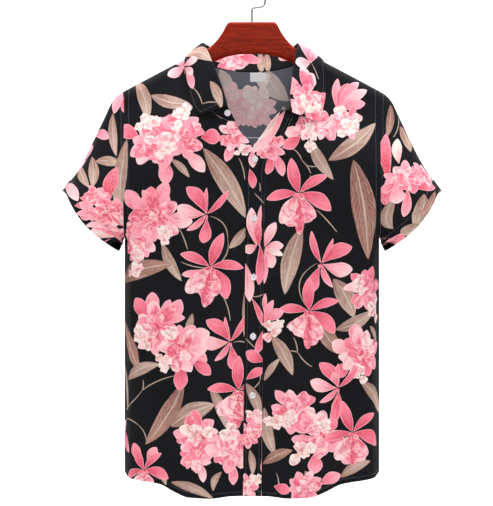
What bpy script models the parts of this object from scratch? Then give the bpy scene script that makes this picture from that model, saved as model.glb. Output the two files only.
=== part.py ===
"""A short-sleeved shirt hanging on a wooden hanger, built piece by piece as it is cut and sewn.

The frame is +Z up and the front looks along -Y. The origin is the inside top of the hook, where it
rests on its rail. Lengths are in metres. The cloth pieces are walls of one thickness, laid on one
smooth body form, with a small gap along every seam.
"""

import math
from typing import NamedTuple

import bpy
import numpy as np

MM = 0.001

# ---- cloth and seams ----
CLOTH = 1.2 * MM  # wall of every cloth piece
SEAM = 0.3 * MM  # gap along a seam, and between a piece and what lies on it
FRONT, BACK = -1, 1

# ---- body form ----
HALF_WIDTH = 212.5 * MM  # centre to side seam and to armhole
NECK_HALF = 100 * MM  # half the width of the neck at the shoulders
NECK_POINT_Z = -124.3 * MM
SHOULDER_SLOPE = 0.5417
SHOULDER_SOFTNESS = 30 * MM
RIDGE_RADIUS = 18 * MM  # roll of the cloth over the hanger's arms
FILL_OUT = 150 * MM  # below the ridge, the cloth stands out to its full depth
SECTION_POWER = 3.0  # of the rounded oblong that a level cut makes
UNDERARM_Z = -428 * MM
ARMHOLE_RISE = 90 * MM  # height over which the armhole opens from its lowest point
ARMHOLE_SHARE = 0.82  # depth of the body at the armhole, as a share of its middle
FRONT_LEAN_START_Z = -300 * MM
FRONT_LEAN = 0.0098  # the front edges hang a little askew

# ---- neckline ----
BACK_NECK_Z = -150 * MM
BACK_NECK_POWER = 2.5
NECK_STEPS = 8  # from a neck point to a front end, and to the centre back
NECK_CROWDING = 2.0  # the steps are closer together near the neck point
BAND_TOP_STEPS = 3  # steps of the left neckline that the band takes up

# ---- front opening ----
BAND_WIDTH = 30 * MM
BAND_EDGE_X = -9.5 * MM  # free edge of the button band
BAND_UPPER_ROWS = 9
BAND_LOWER_ROWS = 12
UNDERLAP_SINK = CLOTH + 1.6 * SEAM  # the right front lies this far behind the band
UNDERLAP_RAMP = 9 * MM
UNDERLAP_START = 5 * MM  # fully behind it this far before the band's edge

# ---- yoke and panels ----
FRONT_SEAM_ARC = 4 * MM  # the shoulder seam lies this far in front of the ridge
YOKE_SEAM_Z = -259 * MM
SHOULDER_STEPS = 8
ROLL_ROWS = (0, 8 * MM, 16 * MM, 24 * MM, 35 * MM)  # close together where the cloth rolls over
UPPER_ROWS = 3  # from there down to the first of the levels below
ROW_LEVELS = (-345 * MM, -375 * MM, -402 * MM, -418 * MM, -425 * MM, -432 * MM, -480 * MM, -580 * MM, -700 * MM)
BACK_UPPER_ROWS = 2

# ---- sleeves ----
SLEEVE_MOUTH_DEPTH = 54 * MM  # half the sleeve mouth, front to back
SLEEVE_BULGE = 10 * MM  # how far the front of the mouth bows out
SLEEVE_CUT_BACK = 6 * MM  # how far the front of the mouth stays behind the back at the tip
SLEEVE_COLUMNS = 26
SLEEVE_ROWS = 6
CUFF_ROWS = 3
CUFF_DEPTH = 21 * MM
CUFF_MOST_SHARE = 0.62  # of the sleeve's length, where that is short
CUFF_GAP = 0.6 * MM

# ---- collar ----
STAND_LIFT = 1.3 * MM  # how far the stand's base lies past the neckline
STAND_ROWS = 4
FALL_GAP = 0.5 * MM  # between the stand's top and the fall that rolls over it
COLLAR_ROLL = 3.2 * MM  # how far the fold rolls outwards before the leaf falls
LEAF_SPRING = 1.5 * MM  # how far the leaf bows off a straight line
LEAF_ROWS = 5

# ---- buttons ----
BUTTON_RADIUS = 5.2 * MM
BUTTON_THICKNESS = 2.2 * MM
BUTTON_SIDES = 18
BUTTON_X = 4.6 * MM
FIRST_BUTTON_Z = -299 * MM
BUTTON_SPACING = 97.3 * MM
BAND_BUTTONS = 5
COLLAR_BUTTON_AT = 0.09  # along the neckline from the wearer's right front end
COLLAR_BUTTON_HEIGHT = 0.4  # up the stand

# ---- label ----
LABEL_WIDTH = 27 * MM
LABEL_HEIGHT = 15 * MM
LABEL_LEFT_X = -3 * MM
LABEL_TOP_Z = -152.5 * MM
LABEL_WALL = 1.0 * MM

# ---- hanger and hook ----
HANGER_TOP_Z = -70 * MM
HANGER_TOP_HALF = 38 * MM
HANGER_END_X = 204 * MM
HANGER_CLEARANCE = 1.0 * MM
HANGER_NECK_HALF = 7 * MM  # half its thickness
HANGER_ARM_HALF = 11 * MM
ARM_HEIGHT_AT_NECK = 28 * MM
ARM_HEIGHT_AT_END = 23 * MM
ARM_STEPS = 8
HANGER_SIDES = 16
HOOK_WIRE_RADIUS = 1.75 * MM
HOOK_LOOP_RADIUS = 22 * MM
HOOK_LOOP_TURN = 205  # degrees
HOOK_STATIONS = 52


class Finish(NamedTuple):
    """A piece's colour (linear), roughness and metallic value."""

    colour: tuple
    roughness: float
    metallic: float = 0.0


PRINTED_CLOTH = Finish(colour=(0.012, 0.012, 0.014), roughness=0.85)
LABEL_CLOTH = Finish(colour=(0.80, 0.80, 0.80), roughness=0.8)
PEARL = Finish(colour=(0.72, 0.70, 0.74), roughness=0.25)
RED_WOOD = Finish(colour=(0.30, 0.045, 0.015), roughness=0.25)
POLISHED_WIRE = Finish(colour=(0.62, 0.62, 0.63), roughness=0.15, metallic=1.0)


class Level(NamedTuple):
    """How far the cloth stands out from the middle, front and back, at one height."""

    z: float
    front: float
    back: float


LEVELS = (
    Level(z=-120 * MM, front=50 * MM, back=40 * MM),
    Level(z=-300 * MM, front=56 * MM, back=44 * MM),
    Level(z=-520 * MM, front=53 * MM, back=46 * MM),
    Level(z=-860 * MM, front=47 * MM, back=46 * MM),
)


class Fold(NamedTuple):
    """A soft trough (depth below 0) or ridge that deepens as it runs down a front or the back."""

    side: int
    x: float
    lean: float
    top_z: float
    width: float
    depth: float


FOLDS = (
    Fold(side=FRONT, x=-118 * MM, lean=0.05, top_z=-420 * MM, width=20 * MM, depth=-3.0 * MM),
    Fold(side=FRONT, x=-62 * MM, lean=-0.03, top_z=-520 * MM, width=17 * MM, depth=2.4 * MM),
    Fold(side=FRONT, x=74 * MM, lean=0.04, top_z=-470 * MM, width=18 * MM, depth=-2.6 * MM),
    Fold(side=FRONT, x=138 * MM, lean=-0.05, top_z=-400 * MM, width=22 * MM, depth=3.0 * MM),
    Fold(side=BACK, x=-128 * MM, lean=0.06, top_z=-300 * MM, width=20 * MM, depth=-6.5 * MM),
    Fold(side=BACK, x=-78 * MM, lean=0.03, top_z=-330 * MM, width=18 * MM, depth=5.0 * MM),
    Fold(side=BACK, x=-22 * MM, lean=0.02, top_z=-290 * MM, width=19 * MM, depth=-5.5 * MM),
    Fold(side=BACK, x=34 * MM, lean=-0.02, top_z=-350 * MM, width=16 * MM, depth=4.5 * MM),
    Fold(side=BACK, x=82 * MM, lean=-0.04, top_z=-300 * MM, width=20 * MM, depth=-6.0 * MM),
    Fold(side=BACK, x=136 * MM, lean=-0.05, top_z=-340 * MM, width=19 * MM, depth=4.0 * MM),
)
FOLD_FADE_IN = 260 * MM  # a fold reaches its full depth this far below its top


class HemPoint(NamedTuple):
    """Height of the shirt-tail hem at one distance from the centre."""

    across: float
    z: float


HEM = (
    HemPoint(across=0 * MM, z=-854.3 * MM),
    HemPoint(across=30 * MM, z=-855.0 * MM),
    HemPoint(across=65 * MM, z=-859.0 * MM),
    HemPoint(across=100 * MM, z=-857.3 * MM),
    HemPoint(across=125 * MM, z=-848.0 * MM),
    HemPoint(across=150 * MM, z=-835.5 * MM),
    HemPoint(across=203 * MM, z=-826.5 * MM),
    HemPoint(across=212.5 * MM, z=-818.0 * MM),
)


class EdgePoint(NamedTuple):
    """A point on an edge, seen from the front."""

    x: float
    z: float


# The right front's free edge, from its neckline down to where the band hides it.
RIGHT_EDGE = (
    EdgePoint(x=-27.4 * MM, z=-237.7 * MM),
    EdgePoint(x=-20.9 * MM, z=-251.5 * MM),
    EdgePoint(x=-14.3 * MM, z=-259.3 * MM),
    EdgePoint(x=-7.6 * MM, z=-265.8 * MM),
    EdgePoint(x=-3.2 * MM, z=-273.4 * MM),
    EdgePoint(x=1.0 * MM, z=-282.0 * MM),
    EdgePoint(x=5.5 * MM, z=-290.0 * MM),
    EdgePoint(x=10.0 * MM, z=-298.0 * MM),
)

# The band's free edge, from its neckline down to where it hangs straight.
BAND_EDGE = (
    EdgePoint(x=48.1 * MM, z=-219.5 * MM),
    EdgePoint(x=31.4 * MM, z=-238.0 * MM),
    EdgePoint(x=11.6 * MM, z=-265.6 * MM),
    EdgePoint(x=1.0 * MM, z=-280.4 * MM),
    EdgePoint(x=-5.4 * MM, z=-296.3 * MM),
    EdgePoint(x=-8.8 * MM, z=-314.0 * MM),
    EdgePoint(x=BAND_EDGE_X, z=-335.0 * MM),
)


class CollarStation(NamedTuple):
    """One cut across the collar. at counts round the neckline: 0 is the wearer's right front end, 1 and
    3 are the neck points, 2 is the centre back and 4 is the left front end. The fold is a point in
    space, and the leaf's edge lies edge_off above the body form, where the front sees it."""

    at: float
    fold: tuple
    edge_side: int
    edge_x: float
    edge_z: float
    edge_off: float


COLLAR = (
    CollarStation(0.0, (-41.5 * MM, -57.5 * MM, -209.5 * MM), FRONT, -85.5 * MM, -226.1 * MM, 3.2 * MM),
    CollarStation(0.3, (-48.0 * MM, -51.5 * MM, -187.0 * MM), FRONT, -96.5 * MM, -214.0 * MM, 3.0 * MM),
    CollarStation(0.54, (-55.5 * MM, -44.5 * MM, -165.0 * MM), FRONT, -103.2 * MM, -198.0 * MM, 3.0 * MM),
    CollarStation(0.76, (-67.0 * MM, -31.0 * MM, -137.0 * MM), FRONT, -109.0 * MM, -171.0 * MM, 3.0 * MM),
    CollarStation(0.86, (-72.5 * MM, -22.5 * MM, -123.0 * MM), FRONT, -111.5 * MM, -154.5 * MM, 3.0 * MM),
    CollarStation(0.94, (-77.5 * MM, -13.0 * MM, -110.5 * MM), FRONT, -112.0 * MM, -138.5 * MM, 2.8 * MM),
    CollarStation(1.0, (-80.0 * MM, 0.0, -104.5 * MM), FRONT, -111.0 * MM, -129.9 * MM, 2.4 * MM),
    CollarStation(1.3, (-68.0 * MM, 28.0 * MM, -109.5 * MM), BACK, -99.0 * MM, -144.0 * MM, 3.2 * MM),
    CollarStation(1.67, (-40.0 * MM, 41.0 * MM, -116.5 * MM), BACK, -57.0 * MM, -159.0 * MM, 3.4 * MM),
    CollarStation(2.0, (0.0, 45.0 * MM, -118.5 * MM), BACK, 0.0, -163.0 * MM, 3.4 * MM),
    CollarStation(2.33, (40.0 * MM, 41.0 * MM, -116.5 * MM), BACK, 59.0 * MM, -160.0 * MM, 3.4 * MM),
    CollarStation(2.7, (67.0 * MM, 28.0 * MM, -109.5 * MM), BACK, 104.0 * MM, -149.0 * MM, 3.2 * MM),
    CollarStation(3.0, (76.5 * MM, 0.0, -104.0 * MM), FRONT, 118.0 * MM, -133.8 * MM, 2.4 * MM),
    CollarStation(3.06, (75.8 * MM, -13.5 * MM, -111.0 * MM), FRONT, 120.8 * MM, -144.0 * MM, 2.8 * MM),
    CollarStation(3.14, (73.5 * MM, -23.5 * MM, -124.5 * MM), FRONT, 122.4 * MM, -156.0 * MM, 3.0 * MM),
    CollarStation(3.24, (70.5 * MM, -33.0 * MM, -141.0 * MM), FRONT, 123.3 * MM, -170.0 * MM, 3.0 * MM),
    CollarStation(3.46, (66.5 * MM, -46.5 * MM, -171.0 * MM), FRONT, 121.6 * MM, -192.5 * MM, 3.0 * MM),
    CollarStation(3.7, (63.5 * MM, -56.0 * MM, -197.0 * MM), FRONT, 117.6 * MM, -214.0 * MM, 3.0 * MM),
    CollarStation(4.0, (64.0 * MM, -65.0 * MM, -219.5 * MM), FRONT, 111.2 * MM, -236.7 * MM, 3.2 * MM),
)

# The wearer's left sleeve, seen from the front.
SLEEVE_TOP = (
    EdgePoint(x=212.8 * MM, z=-184.2 * MM),
    EdgePoint(x=224.0 * MM, z=-191.5 * MM),
    EdgePoint(x=234.0 * MM, z=-203.5 * MM),
    EdgePoint(x=245.0 * MM, z=-227.0 * MM),
    EdgePoint(x=257.5 * MM, z=-253.0 * MM),
    EdgePoint(x=273.5 * MM, z=-286.0 * MM),
    EdgePoint(x=291.0 * MM, z=-317.0 * MM),
    EdgePoint(x=315.0 * MM, z=-351.0 * MM),
)
SLEEVE_UNDER = (
    EdgePoint(x=212.8 * MM, z=-428.0 * MM),
    EdgePoint(x=223.5 * MM, z=-449.5 * MM),
)


class HangerSection(NamedTuple):
    """The hanger's upper and lower outline and half its thickness, at one distance from its middle."""

    x: float
    top_z: float
    bottom_z: float
    half: float


HANGER_NECK = (
    HangerSection(x=0 * MM, top_z=HANGER_TOP_Z, bottom_z=-121.3 * MM, half=HANGER_NECK_HALF),
    HangerSection(x=20 * MM, top_z=HANGER_TOP_Z, bottom_z=-122.3 * MM, half=HANGER_NECK_HALF),
    HangerSection(x=HANGER_TOP_HALF, top_z=HANGER_TOP_Z, bottom_z=-125.6 * MM, half=HANGER_NECK_HALF),
    HangerSection(x=41.5 * MM, top_z=-74.5 * MM, bottom_z=-126.6 * MM, half=HANGER_NECK_HALF),
    HangerSection(x=48.5 * MM, top_z=-86.5 * MM, bottom_z=-128.8 * MM, half=7.4 * MM),
    HangerSection(x=60.0 * MM, top_z=-101.0 * MM, bottom_z=-133.4 * MM, half=8.2 * MM),
    HangerSection(x=74.5 * MM, top_z=-112.6 * MM, bottom_z=-140.4 * MM, half=9.2 * MM),
)


class EndSection(NamedTuple):
    """How a hanger's arm rounds off: a share of the run past its last full section, and of its size."""

    run: float
    size: float


HANGER_TIP = (EndSection(run=0.55, size=0.88), EndSection(run=0.9, size=0.55), EndSection(run=1.0, size=0.25))
HANGER_TIP_LENGTH = 4 * MM

# The hook's shank, from the hanger up to its loop.
HOOK_SHANK = (
    EdgePoint(x=0, z=HANGER_TOP_Z + SEAM),
    EdgePoint(x=0, z=-62 * MM),
    EdgePoint(x=0.1 * MM, z=-53 * MM),
    EdgePoint(x=2.2 * MM, z=-47.6 * MM),
    EdgePoint(x=8 * MM, z=-45.0 * MM),
    EdgePoint(x=15 * MM, z=-43.4 * MM),
    EdgePoint(x=20 * MM, z=-40.4 * MM),
    EdgePoint(x=HOOK_LOOP_RADIUS, z=-34 * MM),
)


# ---- curves ----


def smooth(t):
    """0 to 1 with no slope at either end."""
    t = np.clip(t, 0.0, 1.0)
    return t * t * (3 - 2 * t)


def column(rows, name):
    """One named column of a table."""
    return np.array([getattr(row, name) for row in rows], float)


def curve_through(at, xs, ys):
    """A smooth curve through table points that never runs past them."""
    xs, ys = np.asarray(xs, float), np.asarray(ys, float)
    step = np.diff(ys) / np.diff(xs)
    slope = np.zeros_like(ys)
    product = step[:-1] * step[1:]
    slope[1:-1] = np.where(product > 0, 2 * product / np.where(product > 0, step[:-1] + step[1:], 1), 0)
    slope[0], slope[-1] = step[0], step[-1]
    at = np.clip(at, xs[0], xs[-1])
    k = np.clip(np.searchsorted(xs, at, side="right") - 1, 0, len(xs) - 2)
    width = xs[k + 1] - xs[k]
    t = (at - xs[k]) / width
    ends = ys[k] * (1 + 2 * t) * (1 - t) ** 2 + ys[k + 1] * t * t * (3 - 2 * t)
    return ends + width * (slope[k] * t * (1 - t) ** 2 - slope[k + 1] * t * t * (1 - t))


def path_through(points, count):
    """count points at equal steps along a smooth path through a list of points."""
    points = np.asarray(points, float)
    knots = np.concatenate([[0], np.cumsum(np.linalg.norm(np.diff(points, axis=0), axis=1))])
    fine = np.linspace(0, knots[-1], 600)
    ends = np.vstack([2 * points[0] - points[1], points, 2 * points[-1] - points[-2]])
    k = np.clip(np.searchsorted(knots, fine, side="right") - 1, 0, len(points) - 2)
    t = ((fine - knots[k]) / (knots[k + 1] - knots[k]))[:, None]
    p0, p1, p2, p3 = ends[k], ends[k + 1], ends[k + 2], ends[k + 3]
    bend = (2 * p0 - 5 * p1 + 4 * p2 - p3) * t**2 + (3 * p1 - p0 - 3 * p2 + p3) * t**3
    line = p1 + 0.5 * ((p2 - p0) * t + bend)
    run = np.concatenate([[0], np.cumsum(np.linalg.norm(np.diff(line, axis=0), axis=1))])
    steps = np.linspace(0, run[-1], count)
    return np.stack([np.interp(steps, run, line[:, axis]) for axis in range(points.shape[1])], axis=-1)


# ---- the body form ----


def ridge_z(x):
    """Height of the shoulder line."""
    reach = np.hypot(x, SHOULDER_SOFTNESS) - math.hypot(NECK_HALF, SHOULDER_SOFTNESS)
    return NECK_POINT_Z - SHOULDER_SLOPE * reach


def drop_of(arc):
    """How far below the ridge a point lies that is this far from it along the cloth."""
    quarter = RIDGE_RADIUS * math.pi / 2
    rolled = RIDGE_RADIUS * (1 - np.cos(np.minimum(arc, quarter) / RIDGE_RADIUS))
    return rolled + np.maximum(arc - quarter, 0)


def arc_of(drop):
    """The other way round."""
    drop = np.maximum(drop, 0)
    rolled = RIDGE_RADIUS * np.arccos(np.clip(1 - drop / RIDGE_RADIUS, 0, 1))
    return rolled + np.maximum(drop - RIDGE_RADIUS, 0)


def armhole_share(z):
    """Depth at the side as a share of the middle's: 0 below the underarm, where front and back meet."""
    rise = np.clip((z - UNDERARM_Z) / ARMHOLE_RISE, 0, 1)
    return ARMHOLE_SHARE * np.sqrt(1 - (1 - rise) ** 2)


def fold_depth(x, z, side):
    """What the folds add to the depth."""
    total = 0 * (x + z)
    for fold in FOLDS:
        across = (x - fold.x - fold.lean * (z - fold.top_z)) / fold.width
        grown = smooth((fold.top_z - z) / FOLD_FADE_IN) * (side == fold.side)
        total = total + fold.depth * grown * np.exp(-(across**2))
    return total


def depth(x, z, side):
    """Distance of the cloth's middle from the plane y = 0."""
    drop = ridge_z(x) - z
    front, back = (curve_through(-z, -column(LEVELS, "z"), column(LEVELS, name)) for name in ("front", "back"))
    full = np.where(side == FRONT, front, back)
    roll = np.minimum(arc_of(drop) / RIDGE_RADIUS, math.pi / 2)
    middle = RIDGE_RADIUS * np.sin(roll) + (full - RIDGE_RADIUS) * smooth(drop / FILL_OUT)
    across = np.clip(np.abs(x) / HALF_WIDTH, 0, 1) ** SECTION_POWER
    open_share = armhole_share(z) ** SECTION_POWER
    section = np.clip(1 - (1 - open_share) * across, 0, 1) ** (1 / SECTION_POWER)
    return middle * section + fold_depth(x, z, side) * np.sqrt(1 - across)


def arc_at(x, z, side):
    """How far a place seen from the front lies from the ridge along the cloth: below 0 on a front."""
    return side * arc_of(ridge_z(x) - z)


def form(x, arc, off=0.0):
    """Points of the body form at a distance from its ridge along the cloth, moved off it."""
    x, arc = np.broadcast_arrays(np.asarray(x, float), np.asarray(arc, float))
    side = np.where(arc < 0, FRONT, BACK)
    z = ridge_z(x) - drop_of(np.abs(arc))
    roll = np.minimum(np.abs(arc) / RIDGE_RADIUS, math.pi / 2)
    y = side * (depth(x, z, side) + (SEAM / 2 + off) * np.sin(roll))
    lean = FRONT_LEAN * np.minimum(z - FRONT_LEAN_START_Z, 0) * (1 - np.clip(np.abs(x) / HALF_WIDTH, 0, 1) ** 2)
    return np.stack([x + lean * (side == FRONT), y, z + off * np.cos(roll)], axis=-1)


def facing(x, arc):
    """Unit normals of the body form, outwards."""
    step = 0.5 * MM
    across = form(x + step, arc) - form(x - step, arc)
    normals = np.cross(across, form(x, arc + step) - form(x, arc - step))
    return normals / np.linalg.norm(normals, axis=-1, keepdims=True)


def shoulder_columns():
    """Places across a shoulder, from the neck point to the armhole, with equal steps."""
    return np.linspace(NECK_HALF, HALF_WIDTH, SHOULDER_STEPS + 1)


def hem_z(x):
    """Height of the hem."""
    return curve_through(np.abs(x), column(HEM, "across"), column(HEM, "z"))


# ---- the neckline ----


def neck_steps():
    """Shares from a front end or the centre back (0) to the neck point (1)."""
    return 1 - np.linspace(1, 0, NECK_STEPS + 1) ** NECK_CROWDING


def neck_places():
    """Where the neckline's points lie, counted as in CollarStation.at."""
    toward = neck_steps()
    return np.concatenate([toward, 2 - toward[-2::-1], 2 + toward[1:], 4 - toward[-2::-1]])


def neckline(at):
    """(x, z, side) of the neckline at one place: a quarter of an ellipse on each front, a curve behind."""
    if 1 < at < 3:
        x = NECK_HALF * math.sin((at - 2) * math.pi / 2)
        return x, BACK_NECK_Z + (NECK_POINT_Z - BACK_NECK_Z) * (abs(x) / NECK_HALF) ** BACK_NECK_POWER, BACK
    hand, share, end = (-1, at, RIGHT_EDGE[0]) if at <= 1 else (1, 4 - at, BAND_EDGE[0])
    turn = share * math.pi / 2
    x = abs(end.x) + (NECK_HALF - abs(end.x)) * math.sin(turn)
    return hand * x, end.z + (NECK_POINT_Z - end.z) * (1 - math.cos(turn)), FRONT


def neck_arc(at):
    """The same as x and the distance from the ridge along the cloth."""
    x, z, side = neckline(at)
    return x, float(arc_at(x, z, side))


def neck_part(first, last):
    """x and z of the neckline's points between two places, both included."""
    part = [neckline(at)[:2] for at in neck_places() if first - 1e-9 <= at <= last + 1e-9]
    return np.array(part)


# ---- walls ----


def grid_normals(grid, closed):
    """Unit normals of a grid of points, towards its first direction crossed with its second."""
    if closed:
        along = np.roll(grid, -1, axis=0) - np.roll(grid, 1, axis=0)
    else:
        along = np.gradient(grid, axis=0, edge_order=2)
    normals = np.cross(along, np.gradient(grid, axis=1, edge_order=2))
    return normals / np.linalg.norm(normals, axis=-1, keepdims=True)


def wall(name, grid, finish, closed=False, normals=None, off=0.0, thickness=CLOTH):
    """A closed wall on a grid of points of its middle, with its ends square to its surface."""
    rough = grid_normals(grid, closed)
    if normals is None:
        normals = rough
    rows, cols = grid.shape[:2]
    outer = grid + normals * (off + thickness / 2)
    inner = grid + normals * (off - thickness / 2)
    verts = np.concatenate([outer.reshape(-1, 3), inner.reshape(-1, 3)])
    last_row, last_col = rows - 1, cols - 1

    def out(i, j):
        return (i % rows) * cols + j

    def back(i, j):
        return out(i, j) + rows * cols

    faces = []
    for i in range(rows if closed else last_row):
        for j in range(last_col):
            faces.append((out(i, j), out(i + 1, j), out(i + 1, j + 1), out(i, j + 1)))
            faces.append((back(i, j + 1), back(i + 1, j + 1), back(i + 1, j), back(i, j)))
        faces.append((out(i + 1, 0), out(i, 0), back(i, 0), back(i + 1, 0)))
        faces.append((out(i, last_col), out(i + 1, last_col), back(i + 1, last_col), back(i, last_col)))
    if not closed:
        for j in range(last_col):
            faces.append((out(0, j), out(0, j + 1), back(0, j + 1), back(0, j)))
            faces.append((out(last_row, j + 1), out(last_row, j), back(last_row, j), back(last_row, j + 1)))
    if np.sum(rough * normals) < 0:
        faces = [face[::-1] for face in faces]
    return add_mesh(name, verts, faces, finish)


def add_mesh(name, verts, faces, finish):
    """One object from points and faces, with its own material."""
    mesh = bpy.data.meshes.new(name)
    mesh.from_pydata([tuple(map(float, v)) for v in verts], [], [tuple(int(k) for k in f) for f in faces])
    mesh.materials.append(make_material(name, finish))
    mesh.shade_smooth()
    mesh.set_sharp_from_angle(angle=math.radians(40))
    obj = bpy.data.objects.new(name, mesh)
    bpy.context.scene.collection.objects.link(obj)
    return obj


def make_material(name, finish):
    """A plain Principled material."""
    material = bpy.data.materials.new(name)
    material.use_nodes = True
    shader = material.node_tree.nodes["Principled BSDF"]
    shader.inputs["Base Color"].default_value = (*finish.colour, 1.0)
    shader.inputs["Roughness"].default_value = finish.roughness
    shader.inputs["Metallic"].default_value = finish.metallic
    return material


# ---- fronts, band, yoke and back ----


def lower_arcs(xs):
    """Distances from the ridge of the rows that all panels share, and of the hem, for each column."""
    levels = np.array(ROW_LEVELS)[None, :]
    return arc_of(ridge_z(xs)[:, None] - np.hstack([levels + 0 * xs[:, None], hem_z(xs)[:, None]]))


def hang(xs, tops, lower_xs):
    """A front as x and distances from the ridge: columns that run down from their tops, spread to their
    lower places at the first shared row, and go on to the hem. The first rows are close together, for the
    roll over the shoulder."""
    start = arc_of(ridge_z(xs) - tops)[:, None]
    lower = lower_arcs(lower_xs)
    roll = start + np.array(ROLL_ROWS)[None, :] * np.minimum(1, (lower[:, :1] - start) / (4 * ROLL_ROWS[-1]))
    share = np.linspace(0, 1, UPPER_ROWS + 1)[None, 1:-1]
    arcs = np.hstack([roll, roll[:, -1:] + (lower[:, :1] - roll[:, -1:]) * share, lower])
    spread = smooth((arcs - start) / (lower[:, :1] - start))
    return xs[:, None] + (lower_xs - xs)[:, None] * spread, FRONT * arcs


def lay(name, x, arc, sink=0.0, sides=(0, -1)):
    """A panel on the body form. At the armhole its wall ends square to X, to face the sleeve, and along
    the side seam it is drawn in and ends square to Y, to face the other panel."""
    grid, normals = form(x, arc), facing(x, arc)
    grid[..., 1] += sink
    for end in sides:
        seam = grid[end, :, 2] < UNDERARM_Z + 1 * MM
        normals[end, ~seam, 0] = 0
        normals[end, seam, 1] = 0
        grid[end, seam, 0] -= np.sign(grid[end, seam, 0]) * CLOTH / 2
    normals /= np.linalg.norm(normals, axis=-1, keepdims=True)
    return wall(name, grid, PRINTED_CLOTH, normals=normals)


def band_lines():
    """The band's free edge and its seam, as rows of x and z down the front. Its top is on the neckline."""
    upper = path_through(BAND_EDGE, BAND_UPPER_ROWS)
    run = np.gradient(upper, axis=0)
    run /= np.linalg.norm(run, axis=1, keepdims=True)
    run[-1] = (0, -1)
    seam = upper + BAND_WIDTH * np.stack([-run[:, 1], run[:, 0]], axis=-1)
    seam[0] = neck_part(3, 4)[-1 - BAND_TOP_STEPS]
    seam[1] = seam[0] * 0.45 + seam[2] * 0.55
    share = np.linspace(0, 1, BAND_LOWER_ROWS + 1)[1:, None]
    lines = []
    for line in (upper, seam):
        x, z = line[-1]
        lower = np.hstack([x + 0 * share, z + (hem_z(x) - z) * share])
        lines.append(np.vstack([line, lower]))
    return lines


def build_band():
    """The button band, from its free edge to its seam."""
    edge, seam = band_lines()
    across = np.linspace(0, 1, BAND_TOP_STEPS + 1)[:, None, None]
    flat = edge[None] * (1 - across) + seam[None] * across
    flat[:, 0] = neck_part(3, 4)[-1 - BAND_TOP_STEPS :][::-1]
    flat[:, -1, 1] = hem_z(flat[:, -1, 0])
    x, z = flat[..., 0], flat[..., 1]
    return lay("button_band", x, arc_at(x, z, FRONT), sides=())


def build_front_right():
    """The wearer's right front. It sinks inwards where it passes under the band."""
    shoulder = -shoulder_columns()[::-1]
    neck = neck_part(0, 1)[-2::-1]
    xs = np.concatenate([shoulder, neck[:, 0], column(RIGHT_EDGE, "x")[1:]])
    lower_xs = xs.copy()
    spread = slice(len(shoulder) - 1, len(shoulder) + len(neck))
    lower_xs[spread] = np.linspace(xs[spread][0], xs[spread][-1], len(xs[spread]))
    on_shoulder = ridge_z(shoulder) - drop_of(FRONT_SEAM_ARC)
    x, arc = hang(xs, np.concatenate([on_shoulder, neck[:, 1], column(RIGHT_EDGE, "z")[1:]]), lower_xs)
    z = ridge_z(x) - drop_of(-arc)
    edge, _ = band_lines()
    edge_x = np.interp(-z, -edge[:, 1], edge[:, 0])
    behind = np.clip((x - edge_x + UNDERLAP_START + UNDERLAP_RAMP) / UNDERLAP_RAMP, 0, 1)
    return lay("front_right", x, arc, sink=UNDERLAP_SINK * behind * (z < edge[0, 1]), sides=(0,))


def build_front_left():
    """The wearer's left front, from the band's seam to the side."""
    _, seam = band_lines()
    upper = seam[:BAND_UPPER_ROWS]
    run = np.gradient(upper, axis=0)
    run /= np.linalg.norm(run, axis=1, keepdims=True)
    moved = (upper + SEAM * np.stack([-run[:, 1], run[:, 0]], axis=-1))[:0:-1]
    neck = neck_part(3, 4)[1:-BAND_TOP_STEPS]
    neck[-1, 0] += SEAM
    shoulder = shoulder_columns()
    xs = np.concatenate([moved[:, 0], neck[::-1, 0], shoulder])
    lower_xs = np.concatenate([np.linspace(xs[0], shoulder[0], len(xs) - len(shoulder) + 1), shoulder[1:]])
    on_shoulder = ridge_z(shoulder) - drop_of(FRONT_SEAM_ARC)
    x, arc = hang(xs, np.concatenate([moved[:, 1], neck[::-1, 1], on_shoulder]), lower_xs)
    return lay("front_left", x, arc, sides=(-1,))


def build_yoke_and_back():
    """The yoke runs over the ridge from its front seam to its back seam, and the back hangs from it."""
    shoulder = shoulder_columns()
    neck = neck_part(1, 3)[1:-1]
    xs = np.concatenate([-shoulder[::-1], neck[:, 0], shoulder])
    start = np.full_like(xs, SEAM - FRONT_SEAM_ARC)
    start[len(shoulder) : -len(shoulder)] = arc_of(ridge_z(neck[:, 0]) - neck[:, 1])
    lower_xs = np.concatenate([-shoulder[:0:-1], np.linspace(-NECK_HALF, NECK_HALF, len(neck) + 2), shoulder[1:]])
    seam = arc_of(ridge_z(lower_xs) - YOKE_SEAM_Z)
    share = np.concatenate([np.linspace(0, 0.3, 8), np.linspace(0.3, 1, 4)[1:]])[None, :]
    arc = start[:, None] + (seam - start)[:, None] * share
    lay("yoke", xs[:, None] + (lower_xs - xs)[:, None] * smooth(share), arc)

    start, lower = (seam + SEAM)[:, None], lower_arcs(lower_xs)
    arc = np.hstack([start + (lower[:, :1] - start) * np.linspace(0, 1, BACK_UPPER_ROWS + 1)[None, :-1], lower])
    lay("back", lower_xs[:, None] + 0 * arc, arc)


# ---- sleeves ----


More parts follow.
